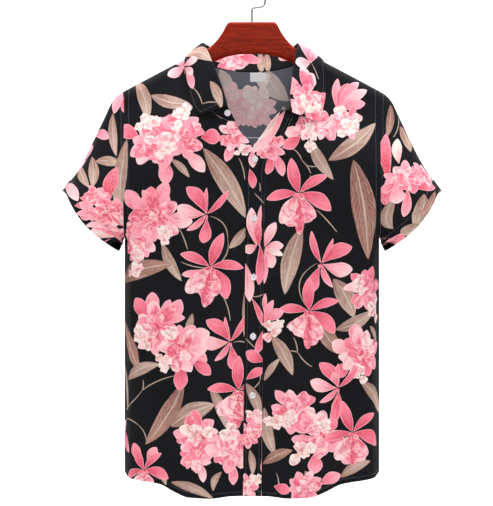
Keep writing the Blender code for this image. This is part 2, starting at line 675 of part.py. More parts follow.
def sleeve_form(turns, shares):
    """Points of the left sleeve. turns is the angle round it from its top, and shares runs from the
    armhole (0) to the mouth (1). Each cut across it spans its upper outline and its underarm."""
    place = np.linspace(0, 1, 200)
    top, under = path_through(SLEEVE_TOP, 200), path_through(SLEEVE_UNDER, 200)
    high = np.stack([np.interp(shares, place, top[:, axis]) for axis in (0, 1)], axis=-1)
    low = np.stack([np.interp(shares, place, under[:, axis]) for axis in (0, 1)], axis=-1)
    up = (1 + np.cos(turns)) / 2
    flat = low + (high - low) * up[..., None]
    side = np.where(np.sin(turns) > 1e-9, FRONT, BACK)
    level = SLEEVE_UNDER[0].z + (SLEEVE_TOP[0].z - SLEEVE_UNDER[0].z) * up
    at_side = np.full_like(level, HALF_WIDTH)
    armhole = np.abs(form(at_side, arc_at(at_side, level, side))[..., 1])
    mouth = SLEEVE_MOUTH_DEPTH * np.abs(np.sin(turns)) ** 0.9
    blend = smooth(shares)
    y = side * (armhole * (1 - blend) + mouth * blend)
    span = (high - low) / np.linalg.norm(high - low, axis=-1, keepdims=True)
    outwards = np.stack([span[..., 1], -span[..., 0]], axis=-1)
    bow = SLEEVE_BULGE * np.sin(math.pi * up) - SLEEVE_CUT_BACK * up**3
    facing = np.clip(-y / SLEEVE_MOUTH_DEPTH * 3, 0, 1)
    flat = flat + outwards * (bow * facing * shares**2)[..., None]
    return np.stack([flat[..., 0], y, flat[..., 1]], axis=-1)


def build_sleeve(hand_name, mirror):
    """A sleeve and the band turned up on its mouth. mirror is -1 on the wearer's right."""
    turns = np.linspace(0, 2 * math.pi, SLEEVE_COLUMNS, endpoint=False)[:, None]
    fine = sleeve_form(turns + np.zeros((1, 40)), np.linspace(0, 1, 40)[None, :] + 0 * turns)
    length = np.linalg.norm(np.diff(fine, axis=1), axis=-1).sum(axis=1)
    start = 1 - np.minimum(CUFF_DEPTH / length, CUFF_MOST_SHARE)[:, None]
    body = start * np.linspace(0, 1, SLEEVE_ROWS)[None, :-1]
    turned = start + (1 - start) * np.linspace(0, 1, CUFF_ROWS)[None, :]
    shares = np.concatenate([body, turned], axis=1)
    grid = sleeve_form(turns + 0 * shares, shares)
    normals = grid_normals(grid, closed=True)
    normals[:, 0, 0] = 0
    normals /= np.linalg.norm(normals, axis=-1, keepdims=True)
    if np.sum(normals[0, 1] * (0, 0, 1)) < 0:
        normals = -normals
    flip = np.array((mirror, 1, 1))
    wall(f"sleeve_{hand_name}", grid * flip, PRINTED_CLOTH, closed=True, normals=normals * flip)
    cuff, cuff_normals = (part[:, -CUFF_ROWS:] * flip for part in (grid, normals))
    wall(f"cuff_{hand_name}", cuff, PRINTED_CLOTH, closed=True, normals=cuff_normals, off=CLOTH + CUFF_GAP)


# ---- collar ----


def collar_lines(places):
    """Points at places round the neck on its three lines: the seam, the fold and the leaf's edge."""
    seam = np.array([form(*neck_arc(at)) for at in places])
    at = column(COLLAR, "at")
    folds = np.array([row.fold for row in COLLAR])
    fold = np.stack([curve_through(places, at, folds[:, axis]) for axis in range(3)], axis=-1)
    edge_x = column(COLLAR, "edge_x")
    arcs = arc_at(edge_x, column(COLLAR, "edge_z"), column(COLLAR, "edge_side"))
    across, arc, off = (curve_through(places, at, values) for values in (edge_x, arcs, column(COLLAR, "edge_off")))
    return seam, fold, form(across, arc, CLOTH / 2 + off)


def collar_frame(seam, fold):
    """The stand's directions outwards, and on past its fold, at each place round the neck."""
    along = np.gradient(fold, axis=0)
    outwards = np.cross(fold - seam, along + np.gradient(seam, axis=0))
    outwards /= np.linalg.norm(outwards, axis=1, keepdims=True)
    onwards = np.cross(along, outwards)
    return outwards, onwards / np.linalg.norm(onwards, axis=1, keepdims=True)


def build_collar():
    """The stand rises from the neckline to the fold, and the fall rolls over it and lies down outside."""
    places = neck_places()
    seam, fold, edge = collar_lines(places)
    outwards, onwards = collar_frame(seam, fold)
    past = np.cross(np.gradient(seam, axis=0), np.array([facing(*neck_arc(at)) for at in places]))
    start = seam + past / np.linalg.norm(past, axis=1, keepdims=True) * STAND_LIFT
    share = np.linspace(0, 1, STAND_ROWS)[None, :, None]
    stand = start[:, None] + (fold - start)[:, None] * share
    wall("collar_stand", stand, PRINTED_CLOTH, normals=np.repeat(outwards[:, None], STAND_ROWS, axis=1))

    rest = CLOTH / 2 + FALL_GAP
    rows = [
        fold + onwards * rest + outwards * 0.1 * COLLAR_ROLL,
        fold + onwards * rest * 1.1 + outwards * 0.6 * COLLAR_ROLL,
        fold + onwards * rest * 0.3 + outwards * COLLAR_ROLL,
    ]
    first = rows[-1]
    for step in range(1, LEAF_ROWS + 1):
        share = step / LEAF_ROWS
        rows.append(first + (edge - first) * share + outwards * LEAF_SPRING * math.sin(math.pi * share))
    wall("collar_fall", np.stack(rows, axis=1), PRINTED_CLOTH)


# ---- buttons and label ----


def build_button(name, seat, out_of):
    """A turned button: a dished disc with a rim, standing on its seat."""
    profile = (
        (0.86 * BUTTON_RADIUS, 0.0),
        (BUTTON_RADIUS, 0.35 * BUTTON_THICKNESS),
        (BUTTON_RADIUS, 0.8 * BUTTON_THICKNESS),
        (0.86 * BUTTON_RADIUS, BUTTON_THICKNESS),
        (0.66 * BUTTON_RADIUS, 0.78 * BUTTON_THICKNESS),
    )
    out_of = out_of / np.linalg.norm(out_of)
    across = np.cross(out_of, (0.0, 0.0, 1.0))
    across /= np.linalg.norm(across)
    upright = np.cross(out_of, across)
    turn = np.linspace(0, 2 * math.pi, BUTTON_SIDES, endpoint=False)[:, None]
    ring = np.cos(turn) * across + np.sin(turn) * upright
    verts = np.concatenate([seat + ring * reach + out_of * out for reach, out in profile])
    faces = [tuple(reversed(range(BUTTON_SIDES)))]
    for low in range(0, (len(profile) - 1) * BUTTON_SIDES, BUTTON_SIDES):
        for k in range(BUTTON_SIDES):
            after = (k + 1) % BUTTON_SIDES
            faces.append((low + k, low + after, low + after + BUTTON_SIDES, low + k + BUTTON_SIDES))
    faces.append(tuple(range(len(verts) - BUTTON_SIDES, len(verts))))
    add_mesh(name, verts, faces, PEARL)


def build_buttons():
    """One button on the stand's front end, left open, and five down the band, fastened."""
    seat = CLOTH / 2 + SEAM
    places = np.array([0.0, COLLAR_BUTTON_AT, 2 * COLLAR_BUTTON_AT])
    seam, fold, _ = collar_lines(places)
    outwards, _ = collar_frame(seam, fold)
    middle = seam[1] + (fold[1] - seam[1]) * COLLAR_BUTTON_HEIGHT
    build_button("button_collar", middle + outwards[1] * (seat + 0.3 * SEAM), outwards[1])
    for number in range(BAND_BUTTONS):
        z = FIRST_BUTTON_Z - number * BUTTON_SPACING
        arc = arc_at(BUTTON_X, z, FRONT)
        outwards = facing(BUTTON_X, arc)
        build_button(f"button_{number + 2}", form(BUTTON_X, arc) + outwards * (seat + 0.1 * SEAM), outwards)


def build_label():
    """The small blank label inside the back of the neck."""
    x = LABEL_LEFT_X + np.linspace(0, LABEL_WIDTH, 5)[:, None]
    z = LABEL_TOP_Z - np.linspace(0, LABEL_HEIGHT, 4)[None, :]
    inside = -(CLOTH + LABEL_WALL) / 2 - 2.5 * SEAM
    wall("neck_label", form(x + 0 * z, arc_at(x, z, BACK), inside), LABEL_CLOTH, thickness=LABEL_WALL)


# ---- hanger and hook ----


def hanger_sections():
    """The hanger's sections from its middle to the end of one arm."""
    sections = list(HANGER_NECK)
    start = sections[-1]
    for share in np.linspace(0, 1, ARM_STEPS + 1)[1:]:
        x = start.x + (HANGER_END_X - start.x) * share
        top = float(ridge_z(x)) - CLOTH / 2 - HANGER_CLEARANCE
        tall = ARM_HEIGHT_AT_NECK + (ARM_HEIGHT_AT_END - ARM_HEIGHT_AT_NECK) * share
        half = start.half + (HANGER_ARM_HALF - start.half) * math.sin(math.pi / 2 * min(1.0, 1.6 * share))
        sections.append(HangerSection(x=x, top_z=top, bottom_z=top - tall, half=half))
    last = sections[-1]
    for tip in HANGER_TIP:
        run = HANGER_TIP_LENGTH * tip.run
        middle = (last.top_z + last.bottom_z) / 2 - SHOULDER_SLOPE * run
        tall = (last.top_z - last.bottom_z) / 2 * tip.size
        sections.append(HangerSection(last.x + run, middle + tall, middle - tall, last.half * tip.size))
    return sections


def build_hanger():
    """The wooden hanger: a loft of rounded sections from one arm's end to the other's."""
    half = hanger_sections()
    sections = [row._replace(x=-row.x) for row in half[:0:-1]] + half
    verts, faces = [], []
    for row in sections:
        radius = min(row.half, (row.top_z - row.bottom_z) / 2)
        for k in range(HANGER_SIDES):
            turn = 2 * math.pi * (k + 0.5) / HANGER_SIDES
            centre = row.top_z - radius if math.cos(turn) > 0 else row.bottom_z + radius
            verts.append((row.x, row.half * math.sin(turn), centre + radius * math.cos(turn)))
    for ring in range(0, (len(sections) - 1) * HANGER_SIDES, HANGER_SIDES):
        for k in range(HANGER_SIDES):
            after = (k + 1) % HANGER_SIDES
            faces.append((ring + k, ring + k + HANGER_SIDES, ring + after + HANGER_SIDES, ring + after))
    faces.append(tuple(range(HANGER_SIDES)))
    faces.append(tuple(reversed(range(len(verts) - HANGER_SIDES, len(verts)))))
    add_mesh("hanger", verts, faces, RED_WOOD)


def build_hook():
    """The wire hook: up from the hanger, a jog to the side, then the loop over the rail."""
    centre_z = HOOK_WIRE_RADIUS - HOOK_LOOP_RADIUS
    loop = []
    for turn in np.radians(np.linspace(0, HOOK_LOOP_TURN, 15)):
        loop.append((HOOK_LOOP_RADIUS * math.cos(turn), centre_z + HOOK_LOOP_RADIUS * math.sin(turn)))
    points = path_through(list(HOOK_SHANK) + loop, HOOK_STATIONS)
    curve = bpy.data.curves.new("hook", "CURVE")
    curve.dimensions = "3D"
    curve.bevel_depth = HOOK_WIRE_RADIUS
    curve.bevel_resolution = 2
    curve.use_fill_caps = True
    spline = curve.splines.new("POLY")
    spline.points.add(len(points) - 1)
    for point, (x, z) in zip(spline.points, points):
        point.co = (x, 0, z, 1)
    curve.materials.append(make_material("hook", POLISHED_WIRE))
    bpy.context.scene.collection.objects.link(bpy.data.objects.new("hook", curve))


def main():
    """Clears the scene and builds every piece."""
    for obj in list(bpy.data.objects):
        bpy.data.objects.remove(obj)
    build_front_right()
    build_front_left()
    build_band()
    build_yoke_and_back()
    build_sleeve("left", 1)
    build_sleeve("right", -1)
    build_collar()
    build_buttons()
    build_label()
    build_hanger()
    build_hook()


main()
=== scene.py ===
"""The looks of a short-sleeved printed shirt on a wooden hanger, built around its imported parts.

Lengths are in metres, +Z is up, the front looks along -Y and the wearer's left is towards +X. Every cloth
piece is drawn flat, the way it is cut: its edges, its print and its stitch lines are laid out in the flat,
and then each point is carried to its place on the hanging shirt. The forms are those of the parts.
"""

import logging
import math
from dataclasses import dataclass, field, replace
from enum import Enum
from functools import partial
from typing import NamedTuple, Sequence

import bpy
import numpy as np
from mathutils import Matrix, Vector
from mathutils.bvhtree import BVHTree
from mathutils.geometry import delaunay_2d_cdt
from mathutils.kdtree import KDTree


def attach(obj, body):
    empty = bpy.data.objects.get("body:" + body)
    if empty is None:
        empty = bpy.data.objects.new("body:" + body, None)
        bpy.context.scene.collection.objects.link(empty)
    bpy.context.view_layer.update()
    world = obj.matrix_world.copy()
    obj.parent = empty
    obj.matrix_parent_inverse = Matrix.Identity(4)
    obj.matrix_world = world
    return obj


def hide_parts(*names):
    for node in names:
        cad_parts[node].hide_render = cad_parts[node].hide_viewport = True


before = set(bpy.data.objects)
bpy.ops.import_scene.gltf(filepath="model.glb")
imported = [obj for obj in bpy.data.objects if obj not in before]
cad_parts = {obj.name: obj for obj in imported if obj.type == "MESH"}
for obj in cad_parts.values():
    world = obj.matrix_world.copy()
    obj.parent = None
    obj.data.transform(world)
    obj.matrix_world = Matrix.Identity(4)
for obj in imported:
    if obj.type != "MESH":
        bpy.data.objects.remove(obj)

MM = 0.001
FRONT, BACK = -1, 1
CLOTH = 1.2 * MM  # wall of the cloth parts
SEAM = 0.3 * MM  # gap along their seams
SHOWN_WALL = 0.8 * MM  # wall of the cloth as shown
Array, Material, Object, Socket = np.ndarray, bpy.types.Material, bpy.types.Object, bpy.types.NodeSocket
log = logging.getLogger("shirt")


# ---- curves ----


def in_mm(kind: type, plain: int, *rows: tuple) -> tuple:
    """A table whose numbers after the first few plain ones are given in millimetres."""
    return tuple(kind(*row[:plain], *(value * MM for value in row[plain:])) for row in rows)


def column(rows: Sequence, name: str) -> Array:
    """One named column of a table."""
    return np.array([getattr(row, name) for row in rows], float)


def smooth(t: Array) -> Array:
    """0 to 1 with no slope at either end."""
    t = np.clip(t, 0.0, 1.0)
    return t * t * (3 - 2 * t)


def unit(vectors: Array) -> Array:
    """The same directions with length 1."""
    return vectors / np.maximum(np.linalg.norm(vectors, axis=-1, keepdims=True), 1e-12)


def cross(first: Array, second: Array) -> Array:
    """Twice the flat area between two flat vectors."""
    return first[:, 0] * second[:, 1] - first[:, 1] * second[:, 0]


def heading(turn: float, reach: float = 1.0) -> Array:
    """A flat step in a direction, in radians from straight right."""
    return reach * np.array((math.cos(turn), math.sin(turn)))


def lengths(points: Array, axis: int = 0) -> Array:
    """Distance along lines of points from the first of each."""
    steps = np.linalg.norm(np.diff(points, axis=axis), axis=-1)
    return np.insert(np.cumsum(steps, axis=axis), 0, 0.0, axis=axis)


def curve_through(at: Array, xs: Array, ys: Array) -> Array:
    """A smooth curve through table points that never runs past them.

    Args:
        at: Where it is read.
        xs: The table's places, rising.
        ys: The table's values.

    Returns:
        Its values.
    """
    step = np.diff(ys) / np.diff(xs)
    slope = np.zeros_like(ys)
    product = step[:-1] * step[1:]
    slope[1:-1] = np.where(product > 0, 2 * product / np.where(product > 0, step[:-1] + step[1:], 1), 0)
    slope[0], slope[-1] = step[0], step[-1]
    at = np.clip(at, xs[0], xs[-1])
    k = np.clip(np.searchsorted(xs, at, side="right") - 1, 0, len(xs) - 2)
    width = xs[k + 1] - xs[k]
    t = (at - xs[k]) / width
    ends = ys[k] * (1 + 2 * t) * (1 - t) ** 2 + ys[k + 1] * t * t * (3 - 2 * t)
    return ends + width * (slope[k] * t * (1 - t) ** 2 - slope[k + 1] * t * t * (1 - t))


def path_through(points: Sequence, count: int) -> Array:
    """Points at equal steps along a smooth path.

    Args:
        points: The points that it passes through.
        count: How many to return.

    Returns:
        The points, one a row.
    """
    points = np.asarray(points, float)
    knots = lengths(points)
    fine = np.linspace(0, knots[-1], 600)
    ends = np.vstack([2 * points[0] - points[1], points, 2 * points[-1] - points[-2]])
    k = np.clip(np.searchsorted(knots, fine, side="right") - 1, 0, len(points) - 2)
    t = ((fine - knots[k]) / (knots[k + 1] - knots[k]))[:, None]
    p0, p1, p2, p3 = ends[k], ends[k + 1], ends[k + 2], ends[k + 3]
    bend = (2 * p0 - 5 * p1 + 4 * p2 - p3) * t**2 + (3 * p1 - p0 - 3 * p2 + p3) * t**3
    line = p1 + 0.5 * ((p2 - p0) * t + bend)
    run = lengths(line)
    steps = np.linspace(0, run[-1], count)
    return np.stack([np.interp(steps, run, line[:, axis]) for axis in range(points.shape[1])], axis=-1)


def resampled(line: Array, step: float) -> Array:
    """A line with its corners kept and points at most a step apart."""
    found = []
    for start, end in zip(line[:-1], line[1:]):
        count = max(1, math.ceil(np.linalg.norm(end - start) / step))
        found.append(start + (end - start) * np.linspace(0, 1, count, endpoint=False)[:, None])
    return np.vstack([*found, line[-1:]])


# ---- the body form ----


class Level(NamedTuple):
    """How far the cloth stands out from the middle, front and back, at one height."""

    z: float
    front: float
    back: float


class Fold(NamedTuple):
    """A soft trough (depth below 0) or ridge that deepens as it runs down a front or the back."""

    side: int
    lean: float
    x: float
    top_z: float
    width: float
    depth: float


class Place(NamedTuple):
    """A point seen from the front."""

    x: float
    z: float


LEVELS = in_mm(Level, 0, (-120, 50, 40), (-300, 56, 44), (-520, 53, 46), (-860, 47, 46))
FOLDS = in_mm(
    Fold, 2, (FRONT, 0.05, -118, -420, 20, -3.0), (FRONT, -0.03, -62, -520, 17, 2.4),
    (FRONT, 0.04, 74, -470, 18, -2.6), (FRONT, -0.05, 138, -400, 22, 3.0), (BACK, 0.06, -128, -300, 20, -6.5),
    (BACK, 0.03, -78, -330, 18, 5.0), (BACK, 0.02, -22, -290, 19, -5.5), (BACK, -0.02, 34, -350, 16, 4.5),
    (BACK, -0.04, 82, -300, 20, -6.0), (BACK, -0.05, 136, -340, 19, 4.0),
)
# Height of the shirt-tail hem at distances from the centre.
HEM = in_mm(
    Place, 0, (0, -854.3), (30, -855), (65, -859), (100, -857.3), (125, -848), (150, -835.5), (203, -826.5),
    (212.5, -818),
)
# The right front's free edge, from its neckline down to where the band hides it.
RIGHT_EDGE = in_mm(
    Place, 0, (-27.4, -237.7), (-20.9, -251.5), (-14.3, -259.3), (-7.6, -265.8), (-3.2, -273.4), (1, -282),
    (5.5, -290), (10, -298),
)
# The band's free edge, from its neckline down to where it hangs straight.
BAND_EDGE = in_mm(
    Place, 0, (48.1, -219.5), (31.4, -238), (11.6, -265.6), (1, -280.4), (-5.4, -296.3), (-8.8, -314),
    (-9.5, -335),
)


@dataclass(frozen=True)
class BodyForm:
    """The smooth form that the fronts, the yoke and the back hang on."""

    half_width: float = 212.5 * MM  # centre to side seam and to armhole
    neck_half: float = 100 * MM
    neck_point_z: float = -124.3 * MM
    shoulder_slope: float = 0.5417
    shoulder_softness: float = 30 * MM
    ridge_radius: float = 18 * MM  # roll of the cloth over the hanger's arms
    fill_out: float = 150 * MM  # below the ridge, the cloth stands out to its full depth
    section_power: float = 3.0
    side_from: float = 198.4375 * MM  # from here the panels run nearly straight to the side seam
    underarm_z: float = -428 * MM
    armhole_rise: float = 90 * MM
    armhole_share: float = 0.82
    lean_from_z: float = -300 * MM
    lean: float = 0.0098  # the front edges hang a little askew
    fold_fade_in: float = 260 * MM
    back_neck_z: float = -150 * MM
    back_neck_power: float = 2.5

    def ridge_z(self, x: Array) -> Array:
        """Height of the shoulder line."""
        reach = np.hypot(x, self.shoulder_softness) - math.hypot(self.neck_half, self.shoulder_softness)
        return self.neck_point_z - self.shoulder_slope * reach

    def height(self, x: Array, arc: Array) -> Array:
        """Height of a point that lies this far from the ridge along the cloth."""
        arc, quarter = np.abs(arc), self.ridge_radius * math.pi / 2
        rolled = self.ridge_radius * (1 - np.cos(np.minimum(arc, quarter) / self.ridge_radius))
        return self.ridge_z(x) - (rolled + np.maximum(arc - quarter, 0))

    def arc(self, x: Array, z: Array) -> Array:
        """The other way round: how far from the ridge a height is along the cloth."""
        drop = np.maximum(self.ridge_z(x) - z, 0)
        rolled = self.ridge_radius * np.arccos(np.clip(1 - drop / self.ridge_radius, 0, 1))
        return rolled + np.maximum(drop - self.ridge_radius, 0)

    def section(self, x: Array, z: Array) -> Array:
        """Depth at a place across as a share of the middle's: a rounded oblong, drawn straight near the
        side seam, and open at the armhole."""
        rise = np.clip((z - self.underarm_z) / self.armhole_rise, 0, 1)
        end = self.armhole_share * np.sqrt(1 - (1 - rise) ** 2)
        closing = 1 - end**self.section_power
        power, reach = self.section_power, np.clip(np.abs(x) / self.half_width, 0, 1)
        full = np.clip(1 - closing * reach**power, 0, 1) ** (1 / power)
        knee = self.side_from / self.half_width
        at_knee = (1 - closing * knee**power) ** (1 / power)
        slope = -closing * knee ** (power - 1) * at_knee ** (1 - power)
        t = np.clip((reach - knee) / (1 - knee), 0, 1)
        fall = end - at_knee
        near_side = at_knee + fall * t + (slope * (1 - knee) - fall) * t * (1 - t) ** 2
        return np.where(reach < knee, full, near_side)

    def fold_depth(self, x: Array, z: Array, side: Array) -> Array:
        """What the folds add to the depth."""
        total = 0 * (x + z)
        for fold in FOLDS:
            across = (x - fold.x - fold.lean * (z - fold.top_z)) / fold.width
            grown = smooth((fold.top_z - z) / self.fold_fade_in) * (side == fold.side)
            total = total + fold.depth * grown * np.exp(-(across**2))
        return total

    def depth(self, x: Array, z: Array, side: Array) -> Array:
        """Distance of the cloth's middle from the plane y = 0."""
        levels = -column(LEVELS, "z")
        front, back = (curve_through(-z, levels, column(LEVELS, name)) for name in ("front", "back"))
        full = np.where(side == FRONT, front, back)
        roll = np.minimum(self.arc(x, z) / self.ridge_radius, math.pi / 2)
        spread = smooth((self.ridge_z(x) - z) / self.fill_out)
        middle = self.ridge_radius * np.sin(roll) + (full - self.ridge_radius) * spread
        across = np.clip(np.abs(x) / self.half_width, 0, 1) ** self.section_power
        return middle * self.section(x, z) + self.fold_depth(x, z, side) * np.sqrt(1 - across)

    def point(self, x: Array, arc: Array, off: float = 0.0) -> Array:
        """Points of the form.

        Args:
            x: Places across.
            arc: Distances from the ridge along the cloth, below 0 on a front.
            off: How far off the form they lie, where it rolls over the ridge or hangs.

        Returns:
            The points.
        """
        x, arc = np.broadcast_arrays(np.asarray(x, float), np.asarray(arc, float))
        side, z = np.where(arc < 0, FRONT, BACK), self.height(x, arc)
        roll = np.minimum(np.abs(arc) / self.ridge_radius, math.pi / 2)
        y = side * (self.depth(x, z, side) + (SEAM / 2 + off) * np.sin(roll))
        inwards = 1 - np.clip(np.abs(x) / self.half_width, 0, 1) ** 2
        lean = self.lean * np.minimum(z - self.lean_from_z, 0) * inwards
        return np.stack([x + lean * (side == FRONT), y, z + off * np.cos(roll)], axis=-1)

    def facing(self, x: Array, arc: Array) -> Array:
        """Unit normals of the form, outwards."""
        step = 0.5 * MM
        across = self.point(x + step, arc) - self.point(x - step, arc)
        return unit(np.cross(across, self.point(x, arc + step) - self.point(x, arc - step)))

    def hem_z(self, x: Array) -> Array:
        """Height of the hem."""
        return curve_through(np.abs(x), column(HEM, "x"), column(HEM, "z"))

    def neckline(self, at: float) -> tuple:
        """A place on the neckline.

        Args:
            at: 0 at the wearer's right front end, 1 and 3 at the neck points, 2 at the centre back.

        Returns:
            Its x, its z and its side.
        """
        if 1 < at < 3:
            x = self.neck_half * math.sin((at - 2) * math.pi / 2)
            rise = (self.neck_point_z - self.back_neck_z) * (abs(x) / self.neck_half) ** self.back_neck_power
            return x, self.back_neck_z + rise, BACK
        hand, share, end = (-1, at, RIGHT_EDGE[0]) if at <= 1 else (1, 4 - at, BAND_EDGE[0])
        turn = share * math.pi / 2
        x = abs(end.x) + (self.neck_half - abs(end.x)) * math.sin(turn)
        return hand * x, end.z + (self.neck_point_z - end.z) * (1 - math.cos(turn)), FRONT

    def neck_arc(self, at: float) -> tuple:
        """The same as x and the distance from the ridge along the cloth."""
        x, z, side = self.neckline(at)
        return x, float(side * self.arc(x, z))


BODY = BodyForm()


# ---- the print ----


def linear(red: int, green: int, blue: int) -> tuple:
    """A colour as it is seen, 0 to 255, as the shader's linear one."""
    shares = (value / 255 for value in (red, green, blue))
    return tuple(share / 12.92 if share <= 0.04045 else ((share + 0.055) / 1.055) ** 2.4 for share in shares)


class Dye(Enum):
    """A painted shape's colours at its base and tip, and its mark: 1 for a leaf's veins, -1 for speckles."""

    CORAL = (linear(214, 72, 98), linear(246, 138, 156), 0.0)
    ROSE = (linear(224, 96, 118), linear(250, 170, 182), 0.0)
    BLUSH = (linear(232, 128, 142), linear(252, 206, 208), 0.0)
    CREAM = (linear(222, 170, 164), linear(242, 230, 222), 0.0)
    TAUPE = (linear(148, 106, 96), linear(198, 170, 156), 1.0)
    BROWN = (linear(122, 72, 64), linear(176, 130, 116), 1.0)
    STALK = (linear(150, 130, 116), linear(196, 180, 164), 1.0)
    # The orchid lip's deep red print, also laid on some sleeve petals as painted shade
    LIP = (linear(214, 60, 84), linear(244, 140, 158), -1.0)
    GROUND = (linear(20, 20, 23), linear(20, 20, 23), 0.0)


CORAL, ROSE, BLUSH, CREAM, TAUPE, BROWN, STALK, LIP, GROUND = Dye


@dataclass(frozen=True)
class Blade:
    """A petal, leaf or stalk painted along a bent line from its base to its tip."""

    base: Array
    tip: Array
    half: float
    dye: Dye
    bend: float = 0.0
    peak: float = 1.0  # above 1, it is widest nearer its tip
    fullness: float = 0.7
    ruffle: float = 0.0
    seed: float = 0.0

    @property
    def frame(self) -> tuple:
        """Its unit direction, the direction across and its length."""
        reach = float(np.linalg.norm(self.tip - self.base))
        along = (self.tip - self.base) / max(reach, 1e-9)
        return along, np.array((-along[1], along[0])), reach

    def half_at(self, t: Array) -> Array:
        """Half its width along its length."""
        swell = np.sin(math.pi * np.clip(t, 0, 1) ** self.peak) ** self.fullness
        return self.half * swell * (1 + self.ruffle * np.sin(17 * t + 6 * self.seed))

    def spine(self, step: float) -> Array:
        """The points of its middle line."""
        along, across, reach = self.frame
        t = np.linspace(0.06, 0.94, max(3, round(reach / (1.6 * step))))[:, None]
        return self.base + along * reach * t + across * self.bend * reach * 4 * t * (1 - t)

    def outline(self, step: float) -> Array:
        """Its outline, round from the base."""
        along, across, reach = self.frame
        t = (1 - np.cos(np.linspace(0, math.pi, max(7, round(1.1 * reach / step))))) / 2
        bow = self.bend * reach * 4 * t * (1 - t)
        middle = self.base + (along * reach) * t[:, None] + across * bow[:, None]
        width = across * np.maximum(self.half_at(t), 0.0)[:, None]
        return np.vstack([middle + width, (middle - width)[-2:0:-1]])

    def read(self, points: Array) -> Array:
        """How far along, how far across and how far from its edge points lie, the last in millimetres."""
        along, across, reach = self.frame
        t = np.clip((points - self.base) @ along / reach, 0, 1)
        aside = (points - self.base) @ across - self.bend * reach * 4 * t * (1 - t)
        half = np.maximum(self.half_at(t), 1e-6)
        share = np.clip(aside / half, -1, 1)
        return np.stack([t, share, (1 - np.abs(share)) * half / MM], axis=-1)


@dataclass(frozen=True)
class Fan:
    """A petal that spreads from its base with a frilled edge."""

    base: Array
    turn: float
    reach: float
    spread: float  # half its opening, in radians
    dye: Dye
    frill: float
    frills: float
    seed: float

    def reach_at(self, turn: Array) -> Array:
        """How far it reaches in a direction away from its middle one."""
        body = np.cos(np.clip(turn / self.spread, -1, 1) * math.pi / 2) ** 0.35
        return self.reach * body * (1 + self.frill * np.sin(self.frills * turn * 2 + 40 * self.seed))

    def spine(self, step: float) -> Array:
        """The points of its middle line."""
        r = np.linspace(0.12, 0.86, max(3, round(self.reach / (1.8 * step))))[:, None] * self.reach
        return self.base + r * heading(self.turn)

    def outline(self, step: float) -> Array:
        """Its outline, round from the base."""
        count = max(9, round(2.2 * self.reach * self.spread / step))
        turn = np.linspace(-1, 1, count) * self.spread * 0.995
        r = self.reach_at(turn)
        edge = np.stack([r * np.cos(turn + self.turn), r * np.sin(turn + self.turn)], axis=-1)
        share = np.linspace(0, 1, max(2, round(self.reach * 0.4 / step)), endpoint=False)[:, None]
        return self.base + np.vstack([edge[0] * share, edge, edge[-1] * (1 - share)[1:]])

    def read(self, points: Array) -> Array:
        """How far along, how far across and how far from its edge points lie, the last in millimetres."""
        away = points - self.base
        r = np.linalg.norm(away, axis=1)
        turn = np.arctan2(away[:, 1], away[:, 0]) - self.turn
        turn = (turn + math.pi) % (2 * math.pi) - math.pi
        edge = np.maximum(self.reach_at(np.clip(turn, -self.spread, self.spread)), 1e-6)
        side = r * np.sin(np.clip(self.spread - np.abs(turn), 0, math.pi / 2))
        inside = np.minimum(np.maximum(edge - r, 0), side + 2 * MM * (r < 4 * MM))
        return np.stack([np.clip(r / edge, 0, 1), np.clip(turn / self.spread, -1, 1), inside / MM], axis=-1)


Shape = Blade | Fan


class Kind(Enum):
    """The flowers of the print."""

    BLOOM = "a full head of frilled petals"
    PUFF = "a small pale frilled lip"
    ORCHID = "five slender petals and a speckled frilled lip"
    STAR = "a flower seen from the side, with two wide petals and four others"


